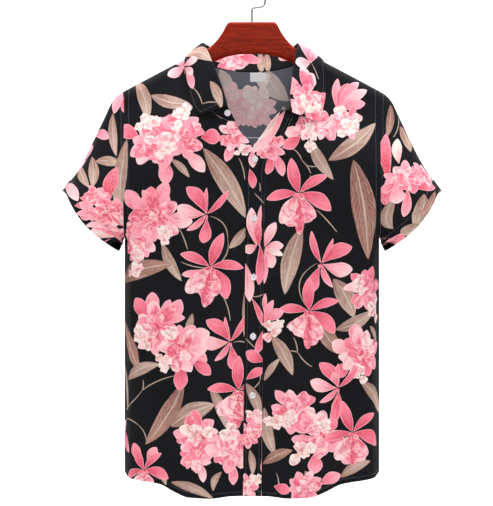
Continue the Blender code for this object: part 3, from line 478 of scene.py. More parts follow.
@dataclass
class Flower:
    """One flower of the print, in the flat."""

    kind: Kind
    at: Array
    size: float
    turn: float
    seed: int
    flip: int = 1  # -1 for its mirror image

    def shapes(self) -> list:
        """Its petals, the lowest first."""
        self.rng = np.random.default_rng(self.seed)
        return getattr(self, self.kind.name.lower())()

    def step(self, turn: float, reach: float) -> Array:
        """A place off its middle, by a direction in degrees and a share of its size."""
        return self.at + heading(math.radians(turn), reach * self.size)

    def fan(self, out: float, turn: float, reach: float, spread: float, dye: Dye) -> Fan:
        """One frilled petal, from a step off the middle."""
        draw = self.rng.uniform
        return Fan(self.step(turn, out), math.radians(turn), reach * self.size, spread, dye, draw(0.06, 0.13),
                   draw(2.4, 4.6), 2 + self.rng.random())

    def blade(self, turn: float, reach: float, half: float, dye: Dye, bend: float, peak: float,
              ruffle: float = 0.02) -> Blade:
        """One plain petal from the middle outwards. Its turn is in degrees from upright."""
        turn = self.turn + 90 + self.flip * turn
        return Blade(self.step(turn, 0.03), self.step(turn, reach), half * self.size, dye,
                     bend=self.flip * bend, peak=peak, ruffle=ruffle, seed=self.rng.random())

    def bloom(self) -> list:
        """A full head: long petals round it, frilled ones over them, and a crumpled heart."""
        rng, draw = self.rng, self.rng.uniform
        found = [self.fan(0.0, 0.0, 0.82, 3.1, CORAL)]
        first = draw(0, 360)
        for k in rng.permutation(9):
            dye = (ROSE, CORAL, ROSE, BLUSH)[rng.integers(4)]
            found.append(self.blade(first + 40 * k + draw(-13, 13), draw(1.0, 1.42), draw(0.23, 0.34), dye,
                                    bend=draw(-0.14, 0.14), peak=1.55, ruffle=0.05))
        for count, out, reach, spread in ((5, 0.08, 1.0, 0.6), (4, 0.02, 0.66, 0.74), (2, -0.06, 0.38, 0.9)):
            first = draw(0, 360)
            for k in rng.permutation(count):
                turn = first + 360 * k / count + draw(-16, 16)
                dye = (ROSE, CORAL, BLUSH, CORAL)[rng.integers(4)]
                found.append(self.fan(out, turn, reach * draw(0.8, 1.15), spread, dye))
        return found

    def puff(self) -> list:
        """A long rumpled heap of pale frilled petals."""
        rng, draw = self.rng, self.rng.uniform
        lie = draw(0, 180)
        found = [self.fan(0.0, lie, 0.95, 3.1, CREAM)]
        for out, turn, reach in ((0.4, 0, 1.1), (0.4, 180, 1.1), (0.15, 80, 0.95), (0.1, -70, 0.7)):
            dye = (CREAM, BLUSH, CREAM)[rng.integers(3)]
            turn += lie + draw(-25, 25)
            found.append(self.fan(out, turn, reach * draw(0.8, 1.2), draw(0.8, 1.1), dye))
        return found

    def orchid(self) -> list:
        """Five slender petals round a broad frilled lip that hangs down, speckled along its middle."""
        petals = [self.blade(*petal) for petal in (
            (13, 1.02, 0.175, CORAL, 0.03, 1.05), (101, 0.93, 0.145, CORAL, -0.07, 1.25),
            (140, 0.84, 0.10, ROSE, 0.05, 2.3), (-118, 1.04, 0.21, CORAL, 0.10, 1.3),
            (-58, 0.95, 0.14, CORAL, 0.08, 1.25),
        )]
        down = 0.3 * self.turn - 90
        return petals + [self.fan(out, down + side, reach, spread, dye) for out, side, reach, spread, dye in (
            (0.02, 0, 0.96, 0.82, ROSE), (0.02, -30, 0.88, 0.52, BLUSH), (0.02, 26, 0.82, 0.42, ROSE),
            (0.02, 2, 1.04, 0.24, LIP), (-0.02, -40, 0.24, 0.6, LIP), (-0.02, 40, 0.24, 0.6, LIP),
        )]

    def star(self) -> list:
        """A flower seen from the side: two wide petals, three slender ones and one that hangs."""
        petals = [self.blade(*petal) for petal in (
            (0, 0.88, 0.085, CORAL, 0.04, 1.0), (-42, 1.08, 0.115, CORAL, -0.06, 1.15),
            (129, 0.84, 0.11, ROSE, 0.08, 1.1), (174, 0.95, 0.20, CORAL, 0.05, 2.0),
            (36, 1.12, 0.23, CORAL, -0.10, 1.5), (76, 1.02, 0.235, BLUSH, 0.08, 1.6),
        )]
        return [*petals, self.fan(0.0, self.turn - 95, 0.14, 0.9, LIP)]


class Spot(NamedTuple):
    """A flower's place on the hanging shirt, in millimetres as seen from the front, its size and its turn."""

    kind: Kind
    x: float
    z: float
    size: float
    turn: float = 0.0
    flip: int = 1


class Stroke(NamedTuple):
    """A leaf, petal or stalk from one place to another, in millimetres as seen from the front."""

    x: float
    z: float
    to_x: float
    to_z: float
    half: float
    bend: float = 0.05
    dye: Dye = TAUPE


bloom, puff, orchid, star = (partial(Spot, kind) for kind in Kind)
leaf = Stroke


def petal(x: float, z: float, to_x: float, to_z: float, half: float, dye: Dye = ROSE) -> Stroke:
    """A petal on its own."""
    return Stroke(x, z, to_x, to_z, half, 0.04, dye)


def stalk(x: float, z: float, to_x: float, to_z: float, bend: float = 0.06) -> Stroke:
    """A stalk."""
    return Stroke(x, z, to_x, to_z, 1.0, bend, STALK)


RIGHT_FRONT_PRINT = (
    leaf(-192, -172, -172, -234, 11), leaf(-168, -192, -102, -207, 11, -0.06),
    leaf(-133, -299, -103, -329, 6), leaf(-207, -265, -218, -401, 11, -0.03),
    leaf(-80, -281, -10, -396, 16, 0.03), leaf(-148, -437, -116, -500, 9, -0.05),
    leaf(-214, -502, -132, -472, 15, 0.05, BROWN), leaf(-10, -412, -38, -446, 8),
    leaf(-98, -553, -111, -587, 6), leaf(-213, -566, -187, -650, 13, 0.06, BROWN),
    leaf(-205, -664, -152, -637, 10, 0.08), leaf(-113, -668, -176, -770, 15, 0.05, BROWN),
    leaf(-211, -640, -206, -716, 6), leaf(-134, -740, -61, -703, 16, 0.06),
    leaf(-12, -517, -13, -592, 6, 0.03), leaf(-69, -674, -43, -742, 9), leaf(-50, -814, -64, -846, 6, -0.15),
    leaf(-134, -832, -64, -858, 8), leaf(-156, -806, -142, -837, 6), stalk(-22, -297, -12, -333),
    stalk(-69, -393, -40, -430, 0.2), stalk(-40, -430, -58, -474, 0.16), stalk(-121, -411, -106, -448, 0.03),
    stalk(-117, -468, -74, -478, -0.06), stalk(-180, -663, -181, -681), stalk(-209, -730, -188, -738, 0.12),
    stalk(-188, -738, -174, -768, 0.12), stalk(-31, -601, -4, -606, 0.15), stalk(-52, -517, -36, -565),
    stalk(-126, -656, -182, -681, -0.06), stalk(-182, -681, -209, -714, 0.08),
    petal(-111, -146, -126, -133, 8), petal(-112, -144, -140, -159, 9, BLUSH),
    petal(-84, -264, -52, -262, 13, CORAL), petal(-148, -296, -141, -341, 12),
    petal(-112, -286, -78, -320, 11, BLUSH), petal(-186, -262, -219, -244, 12, CORAL),
    bloom(-159, -276, 36, 20), bloom(-119, -258, 35, 70), puff(-174, -238, 15), puff(-116, -226, 15),
    puff(-140, -283, 12), petal(-178, -386, -208, -350, 13), petal(-166, -386, -166, -344, 13, CORAL),
    petal(-154, -382, -140, -336, 12), petal(-142, -398, -98, -402, 14, BLUSH), bloom(-188, -434, 30, 40),
    bloom(-162, -397, 36), puff(-143, -421, 15), puff(-189, -459, 14), puff(-194, -484, 12),
    star(-75, -390, 50), orchid(-69, -476, 58, -34), petal(-33, -268, -43, -303, 8), bloom(-30, -258, 22),
    puff(-14, -285, 11), petal(-160, -558, -165, -518, 12), petal(-168, -562, -193, -528, 12, CORAL),
    petal(-132, -572, -118, -530, 12), petal(-104, -600, -70, -584, 13, BLUSH),
    petal(-108, -618, -74, -632, 12), petal(-118, -636, -120, -680, 12, CORAL),
    petal(-100, -630, -68, -654, 10, CORAL), bloom(-156, -574, 36, 30), bloom(-117, -609, 36),
    puff(-182, -594, 14), puff(-141, -636, 15), puff(-136, -590, 12), star(-36, -600, 48, 12),
    orchid(-22, -680, 56, -13), petal(-88, -796, -80, -832, 7, BLUSH), petal(-34, -798, -31, -836, 8),
    bloom(-94, -786, 25), bloom(-88, -756, 33, 15), bloom(-34, -776, 33, 50), puff(-37, -755, 16),
    puff(-91, -752, 18), petal(-183, -800, -196, -768, 9, CORAL), petal(-172, -803, -158, -774, 9),
    orchid(-179, -812, 44, 10), petal(-218, -744, -204, -784, 10, CORAL), puff(-213, -744, 10),
)
LEFT_FRONT_PRINT = (
    leaf(95, -266, 134, -333, 10, -0.05), leaf(126, -301, 205, -238, 14, -0.05),
    leaf(82, -412, 54, -522, 15, -0.04), leaf(167, -300, 192, -464, 20, 0.03, BROWN),
    leaf(134, -496, 168, -560, 15, 0.06), leaf(138, -580, 200, -549, 11, -0.06),
    leaf(109, -564, 150, -622, 13, -0.05, BROWN), leaf(32, -589, 67, -655, 11, 0.05),
    leaf(20, -664, 46, -627, 6), leaf(180, -666, 213, -723, 12, 0.05), leaf(195, -574, 206, -602, 6),
    leaf(20, -708, 38, -788, 10, -0.05), leaf(18, -801, 67, -779, 9, 0.06, BROWN),
    leaf(87, -813, 103, -844, 7), leaf(146, -824, 196, -798, 9, 0.08), stalk(43, -283, 66, -281, 0.1),
    stalk(66, -281, 82, -301, 0.1), stalk(82, -301, 97, -323), stalk(96, -325, 84, -353),
    stalk(106, -382, 140, -419, 0.02), stalk(88, -308, 111, -309, -0.12), stalk(68, -592, 75, -616),
    stalk(75, -616, 99, -641, -0.08), stalk(60, -615, 75, -617), stalk(108, -470, 88, -540, -0.27),
    stalk(40, -816, 44, -846), stalk(140, -700, 150, -726, 0.08), petal(36, -288, 51, -327, 8),
    petal(31, -290, 25, -324, 8, CORAL), bloom(30, -277, 21), petal(84, -250, 54, -257, 11, BLUSH),
    petal(80, -261, 51, -280, 10, CORAL), bloom(92, -244, 20), puff(95, -260, 16),
    petal(141, -216, 142, -164, 7), petal(141, -214, 160, -172, 9, CORAL), petal(143, -213, 177, -170, 9),
    petal(145, -213, 191, -183, 9, BLUSH), petal(146, -215, 188, -205, 9), bloom(122, -243, 22, 20),
    bloom(155, -236, 23), puff(158, -246, 16), puff(148, -218, 9), orchid(77, -355, 58),
    star(114, -471, 52, -25, -1), bloom(190, -517, 31, 10), puff(202, -550, 13), puff(177, -505, 11),
    petal(96, -556, 66, -578, 11, BLUSH), orchid(94, -549, 54, -13), petal(175, -606, 171, -570, 12),
    petal(162, -615, 132, -600, 12, BLUSH), petal(162, -634, 134, -656, 11, CORAL), bloom(180, -622, 34, 15),
    puff(176, -651, 15), puff(192, -604, 12), star(142, -676, 46, 0), petal(141, -690, 132, -736, 8, CORAL),
    petal(143, -672, 134, -650, 7), petal(104, -783, 102, -818, 12), bloom(70, -714, 33, 30),
    bloom(108, -756, 34), puff(63, -727, 13), puff(82, -780, 16), puff(43, -732, 14), puff(118, -742, 12),
    orchid(166, -750, 54, 5), petal(112, -835, 146, -819, 10), bloom(86, -841, 23),
    petal(36, -838, 62, -848, 9, CORAL),
)
SEAM_PRINT = (  # crosses from the band to the left front
    petal(8, -442, -1, -379, 9.5, BLUSH), petal(13, -436, 15, -375, 4), petal(8, -441, -14, -450, 8, BLUSH),
    petal(21, -444, 39, -403, 8.5, BLUSH), petal(21, -446, 52, -441, 8, BLUSH),
    petal(21, -448, 51, -457, 5.5, CREAM), petal(21, -448, 34, -478, 10, BLUSH), petal(21, -445, 20, -504, 4),
    petal(13, -440, 11, -506, 8, CORAL), petal(12, -443, 10, -402, 7, LIP), petal(22, -556, 22, -520, 4),
    petal(20, -568, 35, -531, 6), petal(20, -566, 52, -548, 9), puff(34, -580, 15),
)
BAND_PRINT = (
    bloom(30, -277, 21), petal(52, -212, -4, -290, 10, BLUSH), petal(46, -220, 8, -270, 5, CREAM),
    stalk(4, -355, 20, -372, 0.0), stalk(0, -525, 19, -521, -0.1), stalk(-11, -594, 4, -609, 0.0),
    stalk(12, -643, 13, -664), stalk(13, -664, 3, -676), stalk(12, -338, 13, -352),
    petal(-4, -281, 2, -313, 7, BLUSH), petal(-4, -315, 2, -347, 7, CORAL),
    petal(-14, -466, -4, -534, 9, BLUSH), petal(-1, -527, 19, -575, 5, CORAL),
    petal(20, -578, 6, -620, 7, CORAL), petal(20, -632, -10, -616, 10, CORAL),
    petal(-10, -662, 20, -644, 7.5, CORAL), leaf(-10, -668, 14, -722, 9), leaf(-4, -778, 1, -820, 6),
    bloom(10, -736, 17), bloom(-6, -752, 18), puff(8, -722, 12), petal(17, -790, 20, -820, 6, CORAL),
    bloom(-7, -837, 16), puff(6, -829, 10),
)
RIGHT_SLEEVE_PRINT = (
    petal(-221, -186, -229, -222, 8), petal(-211, -190, -213, -220, 7, CORAL),
    leaf(-231, -221, -224, -294, 7, -0.04), petal(-262, -262, -238, -264, 9),
    leaf(-288, -313, -268, -346, 7, -0.05), leaf(-265, -294, -263, -345, 8, 0.03),
    petal(-290, -318, -264, -274, 9), petal(-306, -338, -276, -300, 7, BLUSH),
    leaf(-259, -302, -214, -306, 9, 0.08), leaf(-207, -265, -218, -401, 11, -0.03),
    # The deep-red petal from (-243, -372) is a printed petal dyed deep as painted shade for the fold under
    # the arm
    petal(-243, -372, -223, -312, 9, LIP), bloom(-256, -360, 15), petal(-312, -347, -286, -368, 8, BLUSH),
    petal(-292, -376, -262, -376, 7), petal(-284, -390, -260, -396, 7), stalk(-266, -404, -256, -390, 0.0),
    stalk(-262, -409, -251, -395, 0.0), petal(-238, -428, -258, -410, 8, CREAM), bloom(-236, -386, 22, 10),
    bloom(-228, -420, 15), petal(-222, -398, -206, -404, 5, CREAM),
)
# Its deep-red petals are print, dyed deeper than the rest as painted shade for the shade that lies over this
# sleeve
LEFT_SLEEVE_PRINT = (
    leaf(230, -207, 223, -262, 6.5, 0.05, BROWN), leaf(246, -243, 263, -286, 9, 0.06),
    stalk(243, -228, 234, -262, 0.1), leaf(238, -358, 233, -414, 7, -0.12),
    leaf(284, -356, 266, -408, 9, 0.06), leaf(302, -352, 276, -394, 6, 0.05, BROWN),
    leaf(271, -405, 250, -424, 7), petal(243, -306, 241, -264, 8, CREAM), petal(227, -336, 222, -256, 9, LIP),
    petal(262, -346, 302, -346, 9, LIP), petal(226, -326, 219, -374, 10, LIP), petal(256, -346, 250, -394, 5),
    petal(236, -344, 240, -372, 9, BLUSH), bloom(283, -322, 17, 20), bloom(252, -328, 23),
    petal(229, -428, 219, -452, 9, LIP), petal(247, -420, 234, -438, 4), petal(236, -338, 212, -352, 8),
)
COLLAR_PRINT = (
    leaf(-114, -126, -66, -137, 11, 0.1), petal(-110, -147, -97, -182, 7),
    petal(-112, -144, -140, -159, 9, BLUSH), petal(-112, -145, -119, -163, 6),
    petal(-111, -146, -98, -158, 6, BLUSH), petal(-113, -143, -90, -131, 7, BLUSH),
    stalk(-98, -180, -82, -208), stalk(-82, -208, -58, -206), leaf(-69, -170, -50, -216, 8, 0.04),
    stalk(98, -138, 110, -166), petal(98, -138, 108, -118, 8), petal(97, -137, 72, -139, 9, BLUSH),
    petal(98, -139, 80, -103, 11), bloom(94, -197, 37, 30), puff(104, -222, 12), puff(88, -208, 11),
    petal(96, -222, 112, -238, 8, CORAL),
)
STAND_PRINT = (
    leaf(14, -114, 16, -152, 7, 0.0), leaf(25, -114, 27, -152, 6, 0.0),
    leaf(-58, -118, -42, -142, 6, 0.05, BROWN), petal(62, -130, 46, -120, 8, BLUSH), bloom(-36, -128, 25),
    petal(-24, -122, 14, -132, 9, CORAL),
)
NECK_PRINT = (
    leaf(-54, -146, -31, -178, 10), leaf(24, -146, 62, -198, 15, 0.1), bloom(6, -214, 28, 70),
    bloom(-24, -204, 33, 30), puff(10, -184, 22), leaf(52, -206, 70, -250, 8),
    leaf(-118, -166, -168, -186, 10, 0.06), star(-104, -186, 34, 20),
)


# ---- cloth laid flat and carried to its place ----


def inside(outline: Array, points: Array) -> Array:
    """Which points lie inside a closed outline."""
    found = np.zeros(len(points), bool)
    low, high = outline.min(axis=0), outline.max(axis=0)
    near = np.flatnonzero(np.all((points >= low) & (points <= high), axis=1))
    following = np.roll(outline, -1, axis=0)
    rise = following[:, 1] - outline[:, 1]
    rise = np.where(rise == 0, 1e-12, rise)
    for some in np.array_split(near, max(1, len(near) * len(outline) // 4_000_000)):
        x, y = points[some, 0][:, None], points[some, 1][:, None]
        spans = (outline[:, 1] > y) != (following[:, 1] > y)
        crossing = outline[:, 0] + (y - outline[:, 1]) / rise * (following[:, 0] - outline[:, 0])
        found[some] = np.count_nonzero(spans & (x < crossing), axis=1) % 2 == 1
    return found


def meets(outline: Array, low: Array, high: Array) -> bool:
    """Whether the box round an outline meets a box."""
    return bool(np.all(outline.max(axis=0) > low) and np.all(outline.min(axis=0) < high))


def uncovered(points: Array, above: Sequence) -> Array:
    """Which points no later outline covers."""
    seen = np.ones(len(points), bool)
    low, high = points.min(axis=0), points.max(axis=0)
    for outline in above:
        if meets(outline, low, high):
            seen[inside(outline, points)] = False
    return seen


def ring(count: int, start: int = 0) -> Array:
    """The edges of a closed line of points, as pairs of point numbers."""
    number = np.arange(count)
    return start + np.stack([number, (number + 1) % count], axis=-1)


def grid_triangles(number: Array) -> Array:
    """The triangles of a grid of point numbers."""
    corners = (number[:-1, :-1], number[1:, :-1], number[1:, 1:], number[:-1, 1:])
    a, b, c, d = (part.ravel() for part in corners)
    return np.concatenate([np.stack([a, b, c], axis=-1), np.stack([a, c, d], axis=-1)])


def grid_normals(grid: Array, closed: bool = False) -> Array:
    """Unit normals of a grid of points, towards its first direction crossed with its second."""
    along = np.roll(grid, -1, axis=0) - np.roll(grid, 1, axis=0) if closed else np.gradient(grid, axis=0)
    return unit(np.cross(along, np.gradient(grid, axis=1)))


def filling(border: Array, step: float) -> Array:
    """Points in staggered rows inside an outline, clear of its points."""
    low, high = border.min(axis=0), border.max(axis=0)
    ys = np.arange(low[1], high[1], step * 0.866)
    x, y = np.meshgrid(np.arange(low[0], high[0], step), ys)
    x = x + (np.arange(len(ys)) % 2)[:, None] * step / 2
    points = np.stack([x.ravel(), y.ravel()], axis=-1)
    points = points[inside(border, points)]
    tree = KDTree(len(border))
    for number, place in enumerate(border):
        tree.insert(Vector((*place, 0.0)), number)
    tree.balance()
    return points[np.array([tree.find(Vector((*place, 0.0)))[2] > 0.4 * step for place in points], bool)]


def triangulated(points: Array, edges: Array, border: Array) -> tuple:
    """Cuts a flat piece into triangles.

    Args:
        points: All points, those of the outline first.
        edges: Pairs of points that stay joined.
        border: The outline.

    Returns:
        Points and triangles, counter-clockwise.
    """
    middle = points.mean(axis=0)
    placed = [Vector(place) for place in points - middle]
    found = delaunay_2d_cdt(placed, edges.tolist(), [list(range(len(border)))], 1, 1e-6, False)
    flat = np.array([(place.x, place.y) for place in found[0]]) + middle
    faces = np.array(found[2])
    corner = flat[faces]
    area = cross(corner[:, 1] - corner[:, 0], corner[:, 2] - corner[:, 0])
    faces = np.where((area < 0)[:, None], faces[:, ::-1], faces)
    faces = faces[(np.abs(area) > 1e-12) & inside(border, corner.mean(axis=1))]
    used, renumbered = np.unique(faces, return_inverse=True)
    return flat[used], renumbered.reshape(-1, 3)


def painted(flat: Array, faces: Array, shapes: Sequence, outlines: Sequence) -> tuple:
    """Each triangle corner's colours at its petal's base and tip, and its place on that petal."""
    centre = flat[faces].mean(axis=1)
    owner = np.full(len(faces), -1)
    for number, outline in enumerate(outlines):
        owner[inside(outline, centre)] = number
    deep = np.tile(np.array((*GROUND.value[0], 0.0)), (len(faces), 3, 1))
    pale = deep.copy()
    place = np.tile(np.array((0.0, 0.0, -1.0)), (len(faces), 3, 1))
    for number, shape in enumerate(shapes):
        mine = np.flatnonzero(owner == number)
        if len(mine):
            base, tip, mark = shape.dye.value
            deep[mine], pale[mine] = (*base, mark), (*tip, shape.seed)
            place[mine] = shape.read(flat[faces[mine]].reshape(-1, 2)).reshape(-1, 3, 3)
    return deep, pale, place


@dataclass
class Cut:
    """A flat piece of cloth cut into triangles, with each point's place on the shirt."""

    points: Array
    normals: Array
    flat: Array
    faces: Array
    deep: Array
    pale: Array
    place: Array


@dataclass
class ClothForm:
    """A fine grid of points in place, their normals outwards, and the same grid laid flat."""

    points: Array
    normals: Array
    flat: Array

    def border(self) -> Array:
        """The flat outline, round the grid's edge."""
        flat = self.flat
        line = np.vstack([flat[:-1, 0], flat[-1, :-1], flat[:0:-1, -1], flat[0, :0:-1]])
        apart = np.linalg.norm(line - np.roll(line, 1, axis=0), axis=1)
        return line[apart > 0.02 * MM]

    def carry(self, places: Array) -> tuple:
        """Points and normals of flat places on the hanging shirt.

        Args:
            places: Flat places, one a row.

        Returns:
            Their points and their normals.
        """
        flat = self.flat.reshape(-1, 2)
        faces = grid_triangles(np.arange(len(flat)).reshape(self.flat.shape[:2]))
        middle = flat.mean(axis=0)
        lifted = [Vector((x, y, 0.0)) for x, y in flat - middle]
        tree = BVHTree.FromPolygons(lifted, faces.tolist(), all_triangles=True)
        faces = faces[np.array([tree.find_nearest(Vector((x, y, 0.0)))[2] for x, y in places - middle])]
        corner = flat[faces]
        first, second, away = corner[:, 1] - corner[:, 0], corner[:, 2] - corner[:, 0], places - corner[:, 0]
        area = cross(first, second)
        area = np.where(np.abs(area) < 1e-14, 1e-14, area)
        b, c = np.clip(cross(away, second) / area, 0, 1), np.clip(cross(first, away) / area, 0, 1)
        share = np.stack([1 - b - c, b, c], axis=-1)[..., None]
        grids = (self.points, self.normals)
        points, normals = ((grid.reshape(-1, 3)[faces] * share).sum(axis=1) for grid in grids)
        return points, unit(normals)

    def spot(self, x: float, z: float, side: int) -> Array:
        """The flat place of what is seen at x and z, in millimetres, on the cloth's front or its back. Past
        the cloth's edge it goes on as if it were flat."""
        seen = self.normals[..., 1] * side > -0.25
        target, limit = np.array((x, z)) * MM, 90 * MM
        away = np.linalg.norm(self.points[..., [0, 2]] - target, axis=-1) + np.where(seen, 0, 1.0)
        row, col = np.unravel_index(np.argmin(away), away.shape)
        row, col = min(max(row, 1), away.shape[0] - 2), min(max(col, 1), away.shape[1] - 2)
        seen_steps, steps = (
            np.stack([grid[row + 1, col] - grid[row - 1, col], grid[row, col + 1] - grid[row, col - 1]])
            for grid in (self.points[..., [0, 2]], self.flat)
        )
        shares = np.linalg.lstsq(seen_steps.T, target - self.points[row, col, [0, 2]], rcond=0.05)[0]
        moved = shares @ steps
        return self.flat[row, col] + moved * min(1.0, limit / max(float(np.linalg.norm(moved)), 1e-9))

    def printed(self, rows: Sequence, side: int = FRONT) -> list:
        """The print's painted shapes, the lowest first.

        Args:
            rows: Strokes and Spots as seen from the front.
            side: Which side of the body they are on.

        Returns:
            Blades and Fans in the flat.
        """
        found = []
        for number, row in enumerate(rows):
            at = self.spot(row.x, row.z, side)
            if isinstance(row, Spot):
                seed = round(7 * row.x + 13 * row.z) % 9973
                found += Flower(row.kind, at, row.size * MM, row.turn, seed, row.flip).shapes()
                continue
            peak, fullness = (0.95, 0.78) if row.dye.value[2] == 1.0 else (1.35, 0.7)
            if row.dye is STALK:
                peak, fullness = 1.0, 0.25
            found.append(Blade(at, self.spot(row.to_x, row.to_z, side), row.half * MM, row.dye, row.bend,
                               peak, fullness, ruffle=0.015, seed=number * 0.37 % 1))
        return found

    def cut(
        self, shapes: Sequence, step: float = 5 * MM, fine: float = 2.0 * MM, sealed: bool = False,
    ) -> Cut:
        """Cuts the cloth along its outline and along every painted edge.

        Args:
            shapes: The print in the flat, the lowest first.
            step: Between points where nothing is painted.
            fine: Between points on a painted edge.
            sealed: Whether the outline keeps only its own points, so that another piece can be sewn to it.

        Returns:
            The triangles, carried to their place.
        """
        border = self.border()
        low, high = border.min(axis=0), border.max(axis=0)
        near = [shape for shape in shapes if meets(shape.outline(6 * MM), low, high)]
        outlines = [shape.outline(fine) for shape in near]
        points, edges, count = [border], [ring(len(border))], len(border)
        for number, (shape, outline) in enumerate(zip(near, outlines)):
            above = outlines[number + 1 :]
            following = np.roll(outline, -1, axis=0)
            ends = (inside(border, outline), inside(border, following))
            within = (ends[0] & ends[1]) if sealed else (ends[0] | ends[1])
            seen = uncovered((outline + following) / 2, above) & within
            kept = np.flatnonzero(seen | np.roll(seen, 1))
            renumber = np.full(len(outline), -1)
            renumber[kept] = np.arange(len(kept)) + count
            edges.append(renumber[ring(len(outline))[seen]])
            spine = shape.spine(fine)
            points += [outline[kept], spine[uncovered(spine, above) & inside(border, spine)]]
            count += len(kept) + len(points[-1])
        flat, faces = triangulated(np.vstack([*points, filling(border, step)]), np.vstack(edges), border)
        return Cut(*self.carry(flat), flat, faces, *painted(flat, faces, near, outlines))


# ---- meshes and sewing ----


def link(name: str, data: bpy.types.ID) -> Object:
    """An object of the scene."""
    obj = bpy.data.objects.new(name, data)
    bpy.context.scene.collection.objects.link(obj)
    return obj


def mesh_of(name: str, points: Array, faces: Array) -> bpy.types.Mesh:
    """A mesh of triangles."""
    mesh = bpy.data.meshes.new(name)
    mesh.vertices.add(len(points))
    mesh.vertices.foreach_set("co", np.ascontiguousarray(points, np.float32).ravel())
    mesh.loops.add(3 * len(faces))
    mesh.loops.foreach_set("vertex_index", np.ascontiguousarray(faces, np.int32).ravel())
    mesh.polygons.add(len(faces))
    mesh.polygons.foreach_set("loop_start", np.arange(0, 3 * len(faces), 3, dtype=np.int32))
    mesh.update(calc_edges=True)
    return mesh


def solid(name: str, points: Array, faces: Array, material: Material, crease: float = 0.0) -> Object:
    """A smooth piece made of triangles, with sharp edges past an angle in degrees."""
    mesh = mesh_of(name, points, faces)
    mesh.shade_smooth()
    if crease:
        mesh.set_sharp_from_angle(angle=math.radians(crease))
    mesh.materials.append(material)
    return link(name, mesh)


def as_mesh(obj: Object) -> Object:
    """An object's evaluated shape as a plain mesh of the same name."""
    graph = bpy.context.evaluated_depsgraph_get()
    name = obj.name
    mesh = bpy.data.meshes.new_from_object(obj.evaluated_get(graph), depsgraph=graph)
    bpy.data.objects.remove(obj)
    mesh.name = name
    return link(name, mesh)


def wire(name: str, lines: Sequence, radius: float, resolution: int, end_radii: Sequence = ()) -> Object:
    """Round wires or threads along lines of points, as one mesh.

    Args:
        name: The piece's name.
        lines: Their middle lines.
        radius: Their radius.
        resolution: How finely they are rounded.
        end_radii: Shares of the radius at the points of each line's end, the last point first.

    Returns:
        The piece.
    """
    curve = bpy.data.curves.new(name, "CURVE")
    curve.dimensions = "3D"
    curve.bevel_depth, curve.bevel_resolution, curve.use_fill_caps = radius, resolution, True
    for line in lines:
        spline = curve.splines.new("POLY")
        spline.points.add(len(line) - 1)
        spline.points.foreach_set("co", np.column_stack([line, np.ones(len(line))]).ravel())
        for number, share in enumerate(end_radii, 1):
            spline.points[-number].radius = share
    return as_mesh(link(name, curve))


def store(mesh: bpy.types.Mesh, name: str, kind: str, values: Array, domain: str = "CORNER") -> None:
    """Stores one of a mesh's attributes."""
    data = mesh.attributes.new(name, kind, domain).data
    key = {"FLOAT_COLOR": "color", "FLOAT_VECTOR": "vector", "FLOAT": "value"}[kind]
    data.foreach_set(key, values.astype(np.float32).ravel())


def walled(faces: Array, count: int) -> tuple:
    """Closes a sheet of triangles with a second layer and a rim.

    Args:
        faces: The sheet's triangles.
        count: How many points it has.

    Returns:
        All triangles, and where the rim is: its triangles in the sheet and each one's two corners.
    """
    ends = np.concatenate([faces[:, [0, 1]], faces[:, [1, 2]], faces[:, [2, 0]]])
    _, index, found = np.unique(np.sort(ends, axis=1), axis=0, return_inverse=True, return_counts=True)
    alone = np.flatnonzero(found[index.reshape(-1)] == 1)
    tri, first = alone % len(faces), alone // len(faces)
    second = (first + 1) % 3
    a, b = faces[tri, first], faces[tri, second]
    rim = [np.stack([b, a, a + count], axis=-1), np.stack([b, a + count, b + count], axis=-1)]
    return np.concatenate([faces, faces[:, ::-1] + count, *rim]), (tri, first, second)


def baked_places(cuts: Sequence, orders: Sequence) -> Array:
    """The cuts' corners side by side in the left half of a square."""
    spans = [np.ptp(cut.flat, axis=0) for cut in cuts]
    gap = 0.01
    wide = sum(span[0] for span in spans)
    share = min((0.5 - gap * (len(cuts) + 1)) / wide, (1 - 2 * gap) / max(span[1] for span in spans))
    found, x = [], gap
    for cut, order, span in zip(cuts, orders, spans):
        found.append((cut.flat[cut.faces][:, order] - cut.flat.min(axis=0)) * share + (x, gap))
        x += span[0] * share + gap
    return np.concatenate(found)


